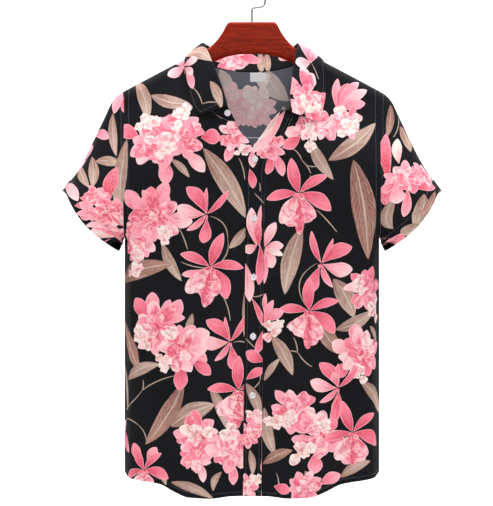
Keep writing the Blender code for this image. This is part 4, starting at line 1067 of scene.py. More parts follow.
def sew(name: str, cuts: Sequence, material: Material, off: float = 0.0, wall: float = SHOWN_WALL) -> Object:
    """Makes one closed wall of cloth from its cuts.

    Args:
        name: The piece's name.
        cuts: Its flat cuts, which are sewn together where their points meet.
        material: Its finish.
        off: How far its middle lies off its form.
        wall: Its thickness.

    Returns:
        The piece.
    """
    starts = np.cumsum([0] + [len(cut.points) for cut in cuts])
    points, normals = (np.concatenate([getattr(cut, kind) for cut in cuts]) for kind in ("points", "normals"))
    orders = []
    for cut in cuts:
        corner = cut.points[cut.faces]
        turned = np.cross(corner[:, 1] - corner[:, 0], corner[:, 2] - corner[:, 0])
        outwards = np.sum(turned * cut.normals[cut.faces].mean(axis=1)) > 0
        orders.append(slice(None) if outwards else slice(None, None, -1))
    faces = np.concatenate([(cut.faces + start)[:, order] for cut, start, order in zip(cuts, starts, orders)])
    values = [np.concatenate([getattr(cut, kind)[:, order] for cut, order in zip(cuts, orders)])
              for kind in ("deep", "pale", "place")]
    values.append(np.concatenate([cut.flat[cut.faces][:, order] for cut, order in zip(cuts, orders)]))
    values.append(baked_places(cuts, orders))
    if len(cuts) > 1:
        near = np.round(points / (0.02 * MM)).astype(int)
        _, first, same = np.unique(near, axis=0, return_index=True, return_inverse=True)
        faces, points, normals = same.reshape(-1)[faces], points[first], normals[first]
        whole = np.array([len(set(face)) == 3 for face in faces.tolist()])
        faces, values = faces[whole], [some[whole] for some in values]
    all_faces, (tri, first, second) = walled(faces, len(points))
    outer, inner = points + normals * (off + wall / 2), points + normals * (off - wall / 2)
    mesh = mesh_of(name, np.concatenate([outer, inner]), all_faces)

    def corners(some: Array, aside: tuple | float = 0.0) -> Array:
        """The same values on both layers, the inner one's moved aside, and round the rim."""
        a, b = some[tri, first], some[tri, second]
        rim = [np.stack([b, a, a], axis=1), np.stack([b, a, b], axis=1)]
        return np.concatenate([some, some[:, ::-1] + aside, *rim])

    deep, pale, place, weave, bake = values
    store(mesh, "deep", "FLOAT_COLOR", corners(deep))
    store(mesh, "pale", "FLOAT_COLOR", corners(pale))
    store(mesh, "place", "FLOAT_VECTOR", corners(place))
    counts = (len(faces), len(faces), 2 * len(tri))
    store(mesh, "reverse", "FLOAT", np.repeat(np.repeat((0.0, 1.0, 0.5), counts), 3))
    for layer, some in (("OFBake", corners(bake, (0.5, 0))), ("weave", corners(weave))):
        mesh.uv_layers.new(name=layer).uv.foreach_set("vector", some.astype(np.float32).ravel())
    a, b = faces[tri, first], faces[tri, second]
    square = unit(np.cross(outer[b] - outer[a], normals[a]))
    around = np.tile(np.repeat(square[:, None], 3, axis=1), (2, 1, 1))
    shading = [normals[faces], -normals[faces][:, ::-1], around]
    mesh.polygons.foreach_set("use_smooth", np.ones(len(all_faces), bool))
    mesh.normals_split_custom_set(np.concatenate(shading).reshape(-1, 3).tolist())
    mesh.materials.append(material)
    return link(name, mesh)


class Cutting(NamedTuple):
    """A cloth piece's flat size, and its area where the cut isn't a rectangle."""

    flat: tuple
    area: float | None = None


def declare(piece: Object, node: str, cutting: Cutting | None = None) -> None:
    """Rides a piece on the shirt in place of its part, and logs how many triangles it has."""
    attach(piece, "root")
    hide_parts(node)
    log.info("%s: %d triangles", piece.name, len(piece.data.polygons))


# ---- finishes ----


class Nodes:
    """A short way to write the nodes of a tree."""

    def __init__(self, tree: bpy.types.NodeTree) -> None:
        """Starts from a tree."""
        self.tree = tree

    def add(self, kind: str, inputs: dict | None = None, **settings: object) -> bpy.types.Node:
        """Adds a node.

        Args:
            kind: Its type.
            inputs: Values or sockets for its inputs, by name or number.
            **settings: Its own settings.

        Returns:
            The node.
        """
        node = self.tree.nodes.new(kind)
        for key, value in settings.items():
            setattr(node, key, value)
        for key, value in (inputs or {}).items():
            self.put(node, key, value)
        return node

    def put(self, node: bpy.types.Node, key: str | int, value: object) -> None:
        """Sets an input to a value, or links a socket to it."""
        if isinstance(value, Socket):
            self.tree.links.new(value, node.inputs[key])
        else:
            node.inputs[key].default_value = value

    def out(self, kind: str, inputs: dict | None = None, **settings: object) -> Socket:
        """Adds a node for its first output."""
        return self.add(kind, inputs, **settings).outputs[0]

    def math(self, operation: str, first: object, second: object = 0.0) -> Socket:
        """One step of arithmetic."""
        return self.out("ShaderNodeMath", {0: first, 1: second}, operation=operation)


class Paint(Nodes):
    """The nodes of a material."""

    def __init__(self, name: str) -> None:
        """Starts a material with a Principled shader."""
        self.material = bpy.data.materials.new(name)
        self.material.use_nodes = True
        super().__init__(self.material.node_tree)
        self.shader = self.tree.nodes["Principled BSDF"]

    def times(self, first: object, *others: object) -> Socket:
        """The product of values."""
        return self.math("MULTIPLY", first, self.times(*others)) if others else first

    def fade(self, value: object, start: float, end: float, low: float = 0.0, high: float = 1.0) -> Socket:
        """Goes softly from low to high as a value goes from start to end."""
        inputs = {"Value": value, "From Min": start, "From Max": end, "To Min": low, "To Max": high}
        return self.out("ShaderNodeMapRange", inputs, interpolation_type="SMOOTHSTEP")

    def mix(self, share: object, first: object, second: object) -> Socket:
        """A mix of two colours, each a socket, a linear colour with alpha, or three numbers as it is seen."""
        made = [value if isinstance(value, Socket) or len(value) == 4 else (*linear(*value), 1)
                for value in (first, second)]
        return self.add("ShaderNodeMix", {0: share, 6: made[0], 7: made[1]}, data_type="RGBA").outputs[2]

    def noise(self, vector: object, scale: float, detail: float = 2.0, roughness: float = 0.5) -> Socket:
        """A soft noise from 0 to 1."""
        inputs = {"Vector": vector, "Scale": scale, "Detail": detail, "Roughness": roughness}
        return self.out("ShaderNodeTexNoise", inputs)

    def attribute(self, name: str) -> bpy.types.Node:
        """One of the piece's own attributes."""
        return self.add("ShaderNodeAttribute", attribute_name=name)

    def place(self) -> Socket:
        """Where a point of the piece is."""
        return self.add("ShaderNodeTexCoord").outputs["Object"]

    def scaled(self, vector: object, *by: float) -> Socket:
        """A vector stretched along its axes."""
        return self.out("ShaderNodeVectorMath", {0: vector, 1: by}, operation="MULTIPLY")

    def swayed(self, vector: object, scale: float, *by: float) -> Socket:
        """A place moved about by a soft noise, this far along its axes."""
        sway = self.scaled(self.add("ShaderNodeTexNoise", {"Vector": vector, "Scale": scale}).outputs[1], *by)
        return self.out("ShaderNodeVectorMath", {0: vector, 1: sway})

    def bump(self, height: object, distance: float, strength: float) -> Socket:
        """A surface raised by a height, in metres at its full height."""
        return self.out("ShaderNodeBump", {"Strength": strength, "Distance": distance, "Height": height})

    def finish(self, **inputs: object) -> Material:
        """Sets the shader's inputs, by names with _ for a space.

        Args:
            **inputs: Values or sockets.

        Returns:
            The material.
        """
        for key, value in inputs.items():
            self.put(self.shader, key.replace("_", " ").title().replace("Ior", "IOR"), value)
        return self.material


@dataclass(frozen=True)
class PrintedCloth:
    """A smooth woven cloth, printed on its outside."""

    thread: float = 0.34 * MM
    weave_height: float = 0.05 * MM
    double: bool = False  # a collar's inside is its facing, printed too

    def material(self, name: str) -> Material:
        """The print from its painted shapes, with the brush's streaks, under a fine weave."""
        tree = Paint(name)
        deep, pale = tree.attribute("deep"), tree.attribute("pale")
        weave = tree.out("ShaderNodeUVMap", uv_map="weave")
        place = tree.add("ShaderNodeSeparateXYZ", {0: tree.attribute("place").outputs["Vector"]}).outputs
        along, across, edge = place
        seed, mark = pale.outputs["Alpha"], deep.outputs["Alpha"]
        leafy = tree.math("MAXIMUM", mark, 0.0)
        flower = tree.math("SUBTRACT", 1.0, leafy)
        painted = tree.math("GREATER_THAN", edge, -0.5)
        brush = tree.out("ShaderNodeCombineXYZ", {0: along, 1: across, 2: tree.times(seed, 37.0)})
        streak = tree.noise(tree.scaled(brush, 1.1, 2.6, 1.0), 1.7, 4.0, 0.68)
        blotch = tree.noise(weave, 110.0, 4.0, 0.62)
        grade = tree.math("ADD", tree.times(along, 0.7), tree.times(streak, 1.0))
        share = tree.fade(tree.math("ADD", grade, tree.times(blotch, 0.5)), 0.6, 1.55)
        colour = tree.mix(share, deep.outputs["Color"], pale.outputs["Color"])
        colour = self.frills(tree, colour, weave, tree.fade(seed, 1.2, 1.8))
        colour = tree.mix(tree.times(tree.fade(edge, 1.4, 0.2), flower, 0.62), colour, (252, 204, 206))
        folds = tree.fade(tree.noise(tree.scaled(brush, 0.7, 3.6, 1.0), 2.1), 0.53, 0.70)
        folds = tree.times(folds, tree.fade(along, 1.0, 0.1), flower)
        colour = tree.mix(tree.times(folds, 0.5), colour, (192, 52, 80))
        dots = tree.add("ShaderNodeTexVoronoi", {"Vector": weave, "Scale": 380.0}).outputs["Distance"]
        dots = tree.times(tree.fade(dots, 0.36, 0.2), tree.fade(mark, -0.4, -0.9, 0.0, 0.8))
        colour = self.veins(tree, tree.mix(dots, colour, (176, 26, 48)), brush, leafy, place)
        ground = tree.mix(tree.fade(tree.noise(weave, 9.0), 0.3, 0.7), (17, 17, 20), (23, 23, 27))
        colour = tree.mix(painted, ground, colour)
        if not self.double:
            faded = tree.mix(painted, (116, 118, 128), tree.mix(0.5, colour, (255, 246, 244)))
            colour = tree.mix(tree.fade(tree.attribute("reverse").outputs["Fac"], 0.4, 0.6), colour, faded)
        return tree.finish(base_color=colour, roughness=0.9, normal=self.relief(tree, weave),
                           sheen_weight=0.02, sheen_roughness=0.5, specular_ior_level=0.12)

    def frills(self, tree: Paint, colour: Socket, weave: Socket, frilled: Socket) -> Socket:
        """The crumpled folds of a frilled petal: fine pale lips with a darker hollow beside each."""
        bent = tree.swayed(weave, 45.0, 0.018, 0.018, 0.0)
        ripple = tree.math("PINGPONG", tree.times(tree.noise(bent, 56.0, 1.2), 8.0), 1.0)
        hollow = tree.times(tree.fade(ripple, 0.40, 0.02), frilled, 0.6)
        lip = tree.times(tree.fade(ripple, 0.72, 0.96), frilled, 0.6)
        hue = tree.add("ShaderNodeSeparateColor", {0: colour}).outputs[1]
        dusk = tree.mix(tree.fade(hue, 0.45, 0.75), (206, 70, 96), (214, 140, 132))
        return tree.mix(lip, tree.mix(hollow, colour, dusk), (254, 226, 220))

    def veins(self, tree: Paint, colour: Socket, brush: Socket, leafy: Socket, place: Sequence) -> Socket:
        """A leaf's brushed streaks, its midrib, its faint side veins and its darker edge."""
        along, across, edge = place
        aside = tree.math("ABSOLUTE", across)
        dry = tree.fade(tree.noise(tree.scaled(brush, 1.5, 2.6, 1.0), 1.6, 4.0, 0.7), 0.44, 0.66)
        colour = tree.mix(tree.times(dry, leafy, 0.55), colour, (104, 58, 50))
        wet = tree.fade(tree.noise(tree.scaled(brush, 1.8, 3.0, 1.0), 2.7, 4.0, 0.7), 0.5, 0.68)
        colour = tree.mix(tree.times(wet, leafy, 0.45), colour, (224, 206, 190))
        rib = tree.times(tree.fade(aside, 0.13, 0.03), 0.6)
        slant = tree.math("SUBTRACT", tree.times(along, 30.0), tree.times(aside, 9.0))
        slant = tree.math("ADD", slant, tree.times(tree.noise(brush, 3.1), 3.4))
        side = tree.times(tree.fade(tree.math("SINE", tree.times(slant, 2.4)), 0.5, 1.0), 0.2)
        colour = tree.mix(tree.times(tree.math("MAXIMUM", rib, side), leafy), colour, (218, 200, 186))
        return tree.mix(tree.times(tree.fade(edge, 0.9, 0.1), leafy, 0.3), colour, (96, 66, 58))

    def relief(self, tree: Paint, weave: Socket) -> Socket:
        """A plain weave: threads over and under each other."""
        part = tree.add("ShaderNodeSeparateXYZ", {0: weave})
        waves = [tree.math("SINE", tree.times(part.outputs[axis], math.pi / self.thread)) for axis in (0, 1)]
        slub = tree.noise(tree.scaled(weave, 1.0, 9.0, 1.0), 260.0)
        return tree.bump(tree.math("ADD", tree.times(*waves), slub), self.weave_height, 0.35)


@dataclass(frozen=True)
class Thread:
    """Sewing thread: twisted, with a little gloss."""

    colour: tuple
    twist: float = 0.8 * MM

    def material(self, name: str) -> Material:
        """The thread's colour with its twist as a fine relief."""
        tree = Paint(name)
        place = tree.place()
        light = (*(min(1.0, 1.5 * share + 0.01) for share in linear(*self.colour)), 1)
        colour = tree.mix(tree.noise(place, 900.0), self.colour, light)
        inputs = {"Vector": place, "Scale": 1 / self.twist / 6}
        wave = tree.add("ShaderNodeTexWave", inputs, bands_direction="DIAGONAL")
        normal = tree.bump(wave.outputs[1], 0.06 * MM, 0.5)
        return tree.finish(base_color=colour, roughness=0.55, normal=normal, sheen_weight=0.3)


@dataclass(frozen=True)
class LabelCloth:
    """A satin ribbon."""

    def material(self, name: str) -> Material:
        """White ribbon with fine cross threads."""
        tree = Paint(name)
        shade = tree.noise(tree.scaled(tree.out("ShaderNodeUVMap", uv_map="weave"), 1.0, 14.0, 1.0), 420.0)
        colour = tree.mix(shade, (248, 248, 250), (255, 255, 255))
        relief = tree.bump(shade, 0.05 * MM, 0.4)
        return tree.finish(base_color=colour, roughness=0.5, normal=relief, sheen_weight=0.2)


@dataclass(frozen=True)
class Pearl:
    """A pearly button with cloudy layers."""

    def material(self, name: str) -> Material:
        """Cloudy pink and grey whites under a clear gloss."""
        tree = Paint(name)
        cloud = tree.noise(tree.swayed(tree.place(), 160.0, 0.004, 0.004, 0.004), 420.0, 3.0, 0.6)
        colour = tree.mix(tree.fade(cloud, 0.35, 0.65), (196, 190, 204), (240, 232, 232))
        roughness = tree.fade(cloud, 0.3, 0.7, 0.2, 0.32)
        return tree.finish(base_color=colour, roughness=roughness, coat_weight=0.6, coat_roughness=0.08,
                           specular_ior_level=0.6)


@dataclass(frozen=True)
class Lacquer:
    """Red-brown lacquered wood with its grain along the hanger."""

    def material(self, name: str) -> Material:
        """The wood's streaks and pores under a glossy coat."""
        tree = Paint(name)
        grain = tree.swayed(tree.place(), 14.0, 0.0, 0.02, 0.02)
        streak = tree.noise(tree.scaled(grain, 1.0, 16.0, 16.0), 22.0, 4.0, 0.6)
        pores = tree.noise(tree.scaled(grain, 1.0, 30.0, 30.0), 60.0, 2.0, 0.6)
        colour = tree.mix(tree.fade(streak, 0.34, 0.66), (112, 22, 6), (146, 36, 10))
        colour = tree.mix(tree.fade(pores, 0.58, 0.74, 0.0, 0.3), colour, (74, 14, 6))
        return tree.finish(base_color=colour, roughness=tree.fade(streak, 0.3, 0.7, 0.34, 0.42),
                           normal=tree.bump(pores, 0.04 * MM, 0.15), coat_weight=0.03, coat_roughness=0.14,
                           specular_ior_level=0.04)


@dataclass(frozen=True)
class PolishedWire:
    """Bright plated wire with faint drawing marks."""

    def material(self, name: str) -> Material:
        """Bright metal with a slightly uneven gloss."""
        tree = Paint(name)
        marks = tree.noise(tree.scaled(tree.place(), 6.0, 6.0, 1.0), 220.0)
        colour = tree.mix(marks, (104, 104, 106), (132, 132, 134))
        return tree.finish(base_color=colour, metallic=1.0, roughness=tree.fade(marks, 0.3, 0.7, 0.12, 0.22))


@dataclass(frozen=True)
class Backdrop:
    """A plain pale floor that sweeps up into a wall."""

    def material(self, name: str) -> Material:
        """Plain matt paper."""
        white = (*linear(246, 246, 246), 1)
        return Paint(name).finish(base_color=white, roughness=0.9, specular_ior_level=0.1)


# ---- the body's pieces ----

FRONT_SEAM_ARC = 4 * MM  # the shoulder seam lies this far in front of the ridge
YOKE_SEAM_Z = -259 * MM
FIRST_ROW_Z = -345 * MM  # a panel has spread to its full width here
GRID = 2.6 * MM  # between points of a form's grid


@dataclass
class Girth:
    """How far round the body a place lies from its centre line."""

    xs: Array = field(default_factory=lambda: np.linspace(-BODY.half_width, BODY.half_width, 241))
    levels: Array = field(default_factory=lambda: np.linspace(-880 * MM, -110 * MM, 90))
    depth: float = 54 * MM

    def __post_init__(self) -> None:
        """Measures every level."""
        y = self.depth * BODY.section(self.xs[None], self.levels[:, None])
        steps = np.hypot(np.diff(self.xs)[None], np.diff(y, axis=1))
        run = np.insert(np.cumsum(steps, axis=1), 0, 0.0, axis=1)
        self.table = run - run[:, len(self.xs) // 2][:, None]

    def at(self, x: Array, z: Array) -> Array:
        """The distance at places seen from the front."""
        col, row = (np.clip((value - table[0]) / (table[1] - table[0]), 0, len(table) - 1.001)
                    for value, table in ((x, self.xs), (z, self.levels)))
        j, i = col.astype(int), row.astype(int)
        s, t = col - j, row - i
        low, high = (self.table[k, j] * (1 - s) + self.table[k, j + 1] * s for k in (i, i + 1))
        return low * (1 - t) + high * t


GIRTH = Girth()


def laid(x: Array, arc: Array, sink: Array | float = 0.0, sides: bool = True) -> ClothForm:
    """A panel on the body form.

    Args:
        x: Places across, a grid whose first direction runs across.
        arc: Their distances from the ridge along the cloth.
        sink: How far they lie inwards.
        sides: Whether it reaches the side seam and the armhole.

    Returns:
        The panel's form. Its wall ends square to X at the armhole and is drawn in at the side seam.
    """
    points, normals, z = BODY.point(x, arc), BODY.facing(x, arc), BODY.height(x, arc)
    down = np.where(arc[:, -1:] > 0, arc - BODY.ridge_z(x), arc + BODY.ridge_z(x))
    points[..., 1] += sink
    if sides:
        edge = smooth((np.abs(x) - (BODY.half_width - 8 * MM)) / (8 * MM))
        at_hole = z > BODY.underarm_z + 1 * MM
        normals[..., 0] *= np.where(at_hole, 1 - edge, 1)
        points[..., 0] -= np.sign(x) * np.where(at_hole, 0, edge * CLOTH / 2)
        normals = unit(normals)
    return ClothForm(points, normals, np.stack([GIRTH.at(x, z), down], axis=-1))


def hang(top_x: Array, top_z: Array, low_x: Array) -> tuple:
    """A front as x and distances from the ridge: columns that run down from their tops to the hem."""
    start = BODY.arc(top_x, top_z)[:, None]
    full = BODY.arc(low_x, FIRST_ROW_Z)[:, None]
    hem = BODY.arc(low_x, BODY.hem_z(low_x))[:, None]
    arc = start + (hem - start) * np.linspace(0, 1, round(0.72 / GRID))[None]
    spread = smooth((arc - start) / (full - start))
    return top_x[:, None] + (low_x - top_x)[:, None] * spread, -arc


def neck_run(first: float, last: float, count: int) -> Array:
    """x and z of the neckline between two places."""
    return np.array([BODY.neckline(at)[:2] for at in np.linspace(first, last, count)])


def sideways(line: Array, by: float) -> Array:
    """A step to the side of a flat line, for each of its points."""
    run = unit(np.gradient(line, axis=0))
    return by * np.stack([-run[:, 1], run[:, 0]], axis=-1)


@dataclass
class BandLines:
    """The button band's free edge and its seam."""

    width: float = 30 * MM
    coarse_rows: int = 9
    neck_steps: int = 8
    top_steps: int = 3

    def __post_init__(self) -> None:
        """Works out both lines, and where the seam meets the neckline."""
        edge = path_through(BAND_EDGE, self.coarse_rows)
        seam = edge + sideways(edge, self.width)
        seam[-1] = edge[-1] + (self.width, 0)
        self.seam_at = 4 - (1 - np.linspace(1, 0, self.neck_steps + 1) ** 2)[self.top_steps]
        seam[0] = BODY.neckline(self.seam_at)[:2]
        seam[1] = seam[0] * 0.45 + seam[2] * 0.55
        self.edge, self.seam = path_through(BAND_EDGE, 64), path_through(seam, 64)


BAND = BandLines()


@dataclass
class BodyPieces:
    """The fronts, the button band, the yoke and the back."""

    shoulder_rows: int = 44
    underlap_sink: float = CLOTH + 1.6 * SEAM
    underlap_ramp: float = 9 * MM
    underlap_start: float = 5 * MM
    roll_width: float = 9 * MM
    roll_lift: float = 3.2 * MM
    roll_top_z: float = -290 * MM
    fine: float = 2.0 * MM  # between points on a painted edge
    back_fine: float = 2.7 * MM
    print_shift: float = 14 * MM  # the back's, from the fronts' turned round
    neck_print_half: float = 66 * MM  # the yoke has a print of its own this near the middle
    cloth: PrintedCloth = field(default_factory=PrintedCloth)

    @property
    def shoulder(self) -> Array:
        """Places across a shoulder, from the neck point to the armhole."""
        return np.linspace(BODY.neck_half, BODY.half_width, self.shoulder_rows)

    def front_right(self) -> ClothForm:
        """The wearer's right front. It sinks inwards where it passes under the band."""
        shoulder, edge = -self.shoulder[::-1], resampled(path_through(RIGHT_EDGE, 22), 3 * MM)[1:]
        on_shoulder = np.stack([shoulder, BODY.height(shoulder, FRONT_SEAM_ARC)], axis=-1)
        top = np.vstack([on_shoulder, neck_run(1, 0, 30)[1:], edge])
        run = lengths(top[len(shoulder) - 1 :])
        low_x = np.concatenate([shoulder, shoulder[-1] + (edge[-1, 0] - shoulder[-1]) * run[1:] / run[-1]])
        x, arc = hang(top[:, 0], top[:, 1], low_x)
        z = BODY.height(x, arc)
        edge_x = np.interp(-z, -BAND.edge[:, 1], BAND.edge[:, 0])
        behind = np.clip((x - edge_x + self.underlap_start + self.underlap_ramp) / self.underlap_ramp, 0, 1)
        return laid(x, arc, self.underlap_sink * smooth(behind) * (z < BAND.edge[0, 1]))

    def front_left(self) -> ClothForm:
        """The wearer's left front, from the band's seam to the side."""
        moved = (BAND.seam + sideways(BAND.seam, SEAM))[:0:-1]
        neck = neck_run(BAND.seam_at, 3, 24)[1:-1]
        neck[0, 0] = max(neck[0, 0], moved[-1, 0] + SEAM)
        shoulder = self.shoulder
        on_shoulder = np.stack([shoulder, BODY.height(shoulder, FRONT_SEAM_ARC)], axis=-1)
        top = np.vstack([moved, neck, on_shoulder])
        run = lengths(top[: -len(shoulder) + 1])
        low_x = np.concatenate([top[0, 0] + (shoulder[0] - top[0, 0]) * run[:-1] / run[-1], shoulder])
        return laid(*hang(top[:, 0], top[:, 1], low_x))

    def band(self) -> ClothForm:
        """The button band. Its open upper end rolls outwards along its free edge."""
        lines = []
        for line in (BAND.edge, BAND.seam):
            x, z = line[-1]
            share = np.linspace(0, 1, 190)[1:, None]
            lines.append(np.vstack([line, np.hstack([x + 0 * share, z + (BODY.hem_z(x) - z) * share])]))
        across = np.linspace(0, 1, 15)[:, None, None]
        flat = lines[0][None] * (1 - across) + lines[1][None] * across
        fade = (1 - smooth(np.arange(flat.shape[1]) / 7))[None, :, None]
        flat = flat + (neck_run(4, BAND.seam_at, 15) - flat[:, 0])[:, None] * fade
        flat[:, -1, 1] = BODY.hem_z(flat[:, -1, 0])
        x, z = flat[..., 0], flat[..., 1]
        form = laid(x, -BODY.arc(x, z), sides=False)
        from_edge = across[..., 0] * np.linalg.norm(lines[1] - lines[0], axis=1)[None]
        lift = (1 - smooth(from_edge / self.roll_width)) * self.roll_lift
        lift = lift * smooth((z - self.roll_top_z) / (45 * MM))
        form.points = form.points + form.normals * lift[..., None]
        normals = grid_normals(form.points)
        inwards = np.sum(normals * form.normals, axis=-1, keepdims=True) < 0
        form.normals = normals * np.where(inwards, -1, 1)
        return form

    def yoke(self) -> ClothForm:
        """The yoke runs over the ridge from its front seam to its back seam."""
        neck, shoulder = neck_run(1, 3, 72)[1:-1], self.shoulder
        xs = np.concatenate([-shoulder[::-1], neck[:, 0], shoulder])
        start = np.full_like(xs, SEAM - FRONT_SEAM_ARC)
        start[self.shoulder_rows : -self.shoulder_rows] = BODY.arc(neck[:, 0], neck[:, 1])
        middle = np.linspace(-BODY.neck_half, BODY.neck_half, len(neck) + 2)
        low_x = np.concatenate([-shoulder[:0:-1], middle, shoulder[1:]])
        share = np.linspace(0, 1, 52)[None]
        arc = start[:, None] + (BODY.arc(low_x, YOKE_SEAM_Z) - start)[:, None] * share
        return laid(xs[:, None] + (low_x - xs)[:, None] * smooth(share), arc)

    def back(self) -> ClothForm:
        """The back, from the yoke's seam to the hem."""
        xs = np.linspace(-BODY.half_width, BODY.half_width, 170)
        start = BODY.arc(xs, YOKE_SEAM_Z) + SEAM
        arc = start[:, None] + (BODY.arc(xs, BODY.hem_z(xs)) - start)[:, None] * np.linspace(0, 1, 230)[None]
        return laid(xs[:, None] + 0 * arc, arc)

    def build(self) -> dict:
        """Returns:
            Their forms, by name.
        """
        right, left, band, yoke = self.front_right(), self.front_left(), self.band(), self.yoke()
        right_print = right.printed(RIGHT_FRONT_PRINT)
        left_print = left.printed(LEFT_FRONT_PRINT + SEAM_PRINT)
        back_print = [turned_round(shape, (0.0, self.print_shift)) for shape in right_print + left_print]
        yoke_print = [shape for shape in back_print
                      if np.abs(shape.outline(3 * MM)[:, 0]).min() > self.neck_print_half]
        forms = {}
        for name, form, shapes, cutting in (
            ("front_right", right, right_print, Cutting((0.25, 0.735), area=0.1563)),
            ("front_left", left, left_print, Cutting((0.215, 0.735), area=0.1391)),
            ("button_band", band, band.printed(BAND_PRINT + SEAM_PRINT), Cutting((0.031, 0.655))),
            ("yoke", yoke, yoke_print + yoke.printed(NECK_PRINT, BACK), Cutting((0.44, 0.16), area=0.0522)),
            ("back", self.back(), back_print, Cutting((0.45, 0.6))),
        ):
            forms[name] = form
            cut = form.cut(shapes, fine=self.back_fine if name == "back" else self.fine)
            piece = sew(name + "_cloth", [cut], self.cloth.material(name + "_print"))
            declare(piece, name, cutting)
        return forms


def turned_round(shape: Shape, shift: tuple) -> Shape:
    """A painted shape turned upside down in the flat and moved."""
    move = np.array(shift)
    if isinstance(shape, Fan):
        return replace(shape, base=move - shape.base, turn=shape.turn + math.pi)
    return replace(shape, base=move - shape.base, tip=move - shape.tip)


# ---- sleeves ----

SLEEVE_TOP = in_mm(
    Place, 0, (212.8, -184.2), (224, -191.5), (234, -203.5), (245, -227), (257.5, -253), (273.5, -286),
    (291, -317), (315, -351),
)
SLEEVE_UNDER = in_mm(Place, 0, (212.8, -428), (223.5, -449.5))


@dataclass
class Sleeve:
    """A short sleeve and the cuff turned up on its mouth."""

    hand: str
    mirror: int
    rows: Sequence
    mouth_depth: float = 54 * MM
    bulge: float = 10 * MM
    cut_back: float = 6 * MM
    cuff_depth: float = 21 * MM
    cuff_most_share: float = 0.62
    cuff_gap: float = 0.6 * MM
    around: int = 132
    cloth: PrintedCloth = field(default_factory=PrintedCloth)

    def outlines(self, shares: Array) -> list:
        """The upper outline and the underarm at shares of the way to the mouth."""
        place = np.linspace(0, 1, 200)
        lines = [path_through(rows, 200) for rows in (SLEEVE_TOP, SLEEVE_UNDER)]
        return [np.stack([np.interp(shares, place, line[:, axis]) for axis in (0, 1)], axis=-1)
                for line in lines]

    def shape(self, turns: Array, shares: Array) -> Array:
        """Points of the left sleeve, at angles round it from its top and shares of the way to the mouth."""
        turns, shares = np.broadcast_arrays(turns, shares)
        high, low = self.outlines(shares)
        up = (1 + np.cos(turns)) / 2
        flat = low + (high - low) * up[..., None]
        side = np.where(np.sin(turns) > 1e-9, FRONT, BACK)
        level = SLEEVE_UNDER[0].z + (SLEEVE_TOP[0].z - SLEEVE_UNDER[0].z) * up
        at_side = np.full_like(level, BODY.half_width)
        armhole = np.abs(BODY.point(at_side, side * BODY.arc(at_side, level))[..., 1])
        armhole = armhole * (np.abs(np.sin(turns)) > 1e-6)
        mouth = self.mouth_depth * np.abs(np.sin(turns)) ** 0.9
        blend = smooth(shares)
        y = side * (armhole * (1 - blend) + mouth * blend)
        span = unit(high - low)
        bow = self.bulge * np.sin(math.pi * up) - self.cut_back * up**3
        facing = np.clip(-y / self.mouth_depth * 3, 0, 1)
        flat = flat + np.stack([span[..., 1], -span[..., 0]], axis=-1) * (bow * facing * shares**2)[..., None]
        return np.stack([flat[..., 0], y, flat[..., 1]], axis=-1)

    @property
    def turns(self) -> Array:
        """Angles round the sleeve from its top, one a row."""
        return np.linspace(0, 2 * math.pi, self.around, endpoint=False)[:, None]

    def halves(self, first: Array, rows: int) -> list:
        """The front and the back of a stretch that ends at the mouth.

        Args:
            first: The share where it starts, for each angle round the sleeve.
            rows: Its rows.

        Returns:
            Two forms that meet along the top and the underarm.
        """
        shares = first + (1 - first) * np.linspace(0, 1, rows)[None]
        points = self.shape(self.turns, shares)
        normals = grid_normals(points, closed=True)
        normals[..., 0] *= smooth(shares / 0.05)
        normals = unit(normals)
        if normals[0, 1, 2] < 0:
            normals = -normals
        high, low = self.outlines(shares)
        down = unit(low - high)
        flip = np.array((self.mirror, 1, 1))
        half = self.around // 2
        found = []
        for part in (np.arange(half + 1), np.r_[0, np.arange(self.around - 1, half - 1, -1)]):
            flat = high[part] + down[part] * lengths(points[part])[..., None]
            found.append(ClothForm(points[part] * flip, normals[part] * flip, flat * (self.mirror, 1)))
        return found

    def build(self) -> dict:
        """Returns:
            The forms of their two halves, by name.
        """
        fine = self.shape(self.turns, np.linspace(0, 1, 60)[None])
        length = np.linalg.norm(np.diff(fine, axis=1), axis=-1).sum(axis=1)
        start = 1 - np.minimum(self.cuff_depth / length, self.cuff_most_share)[:, None]
        forms = {}
        for name, first, rows, off, cutting in (
            (f"sleeve_{self.hand}", np.zeros_like(start), 64, 0.0, Cutting((0.56, 0.2), area=0.0392)),
            (f"cuff_{self.hand}", start, 12, CLOTH + self.cuff_gap, Cutting((0.42, 0.022))),
        ):
            forms[name] = self.halves(first, rows)
            shapes = forms[name][0].printed(self.rows)
            cuts = [form.cut(shapes, sealed=True) for form in forms[name]]
            piece = sew(name + "_cloth", cuts, self.cloth.material(name + "_print"), off=off)
            declare(piece, name, cutting)
        return forms


# ---- collar ----


class CollarStation(NamedTuple):
    """One cut across the collar: its place round the neckline, its fold, and its leaf's edge."""

    at: float
    edge_side: int
    fold_x: float
    fold_y: float
    fold_z: float
    edge_x: float
    edge_z: float
    edge_off: float


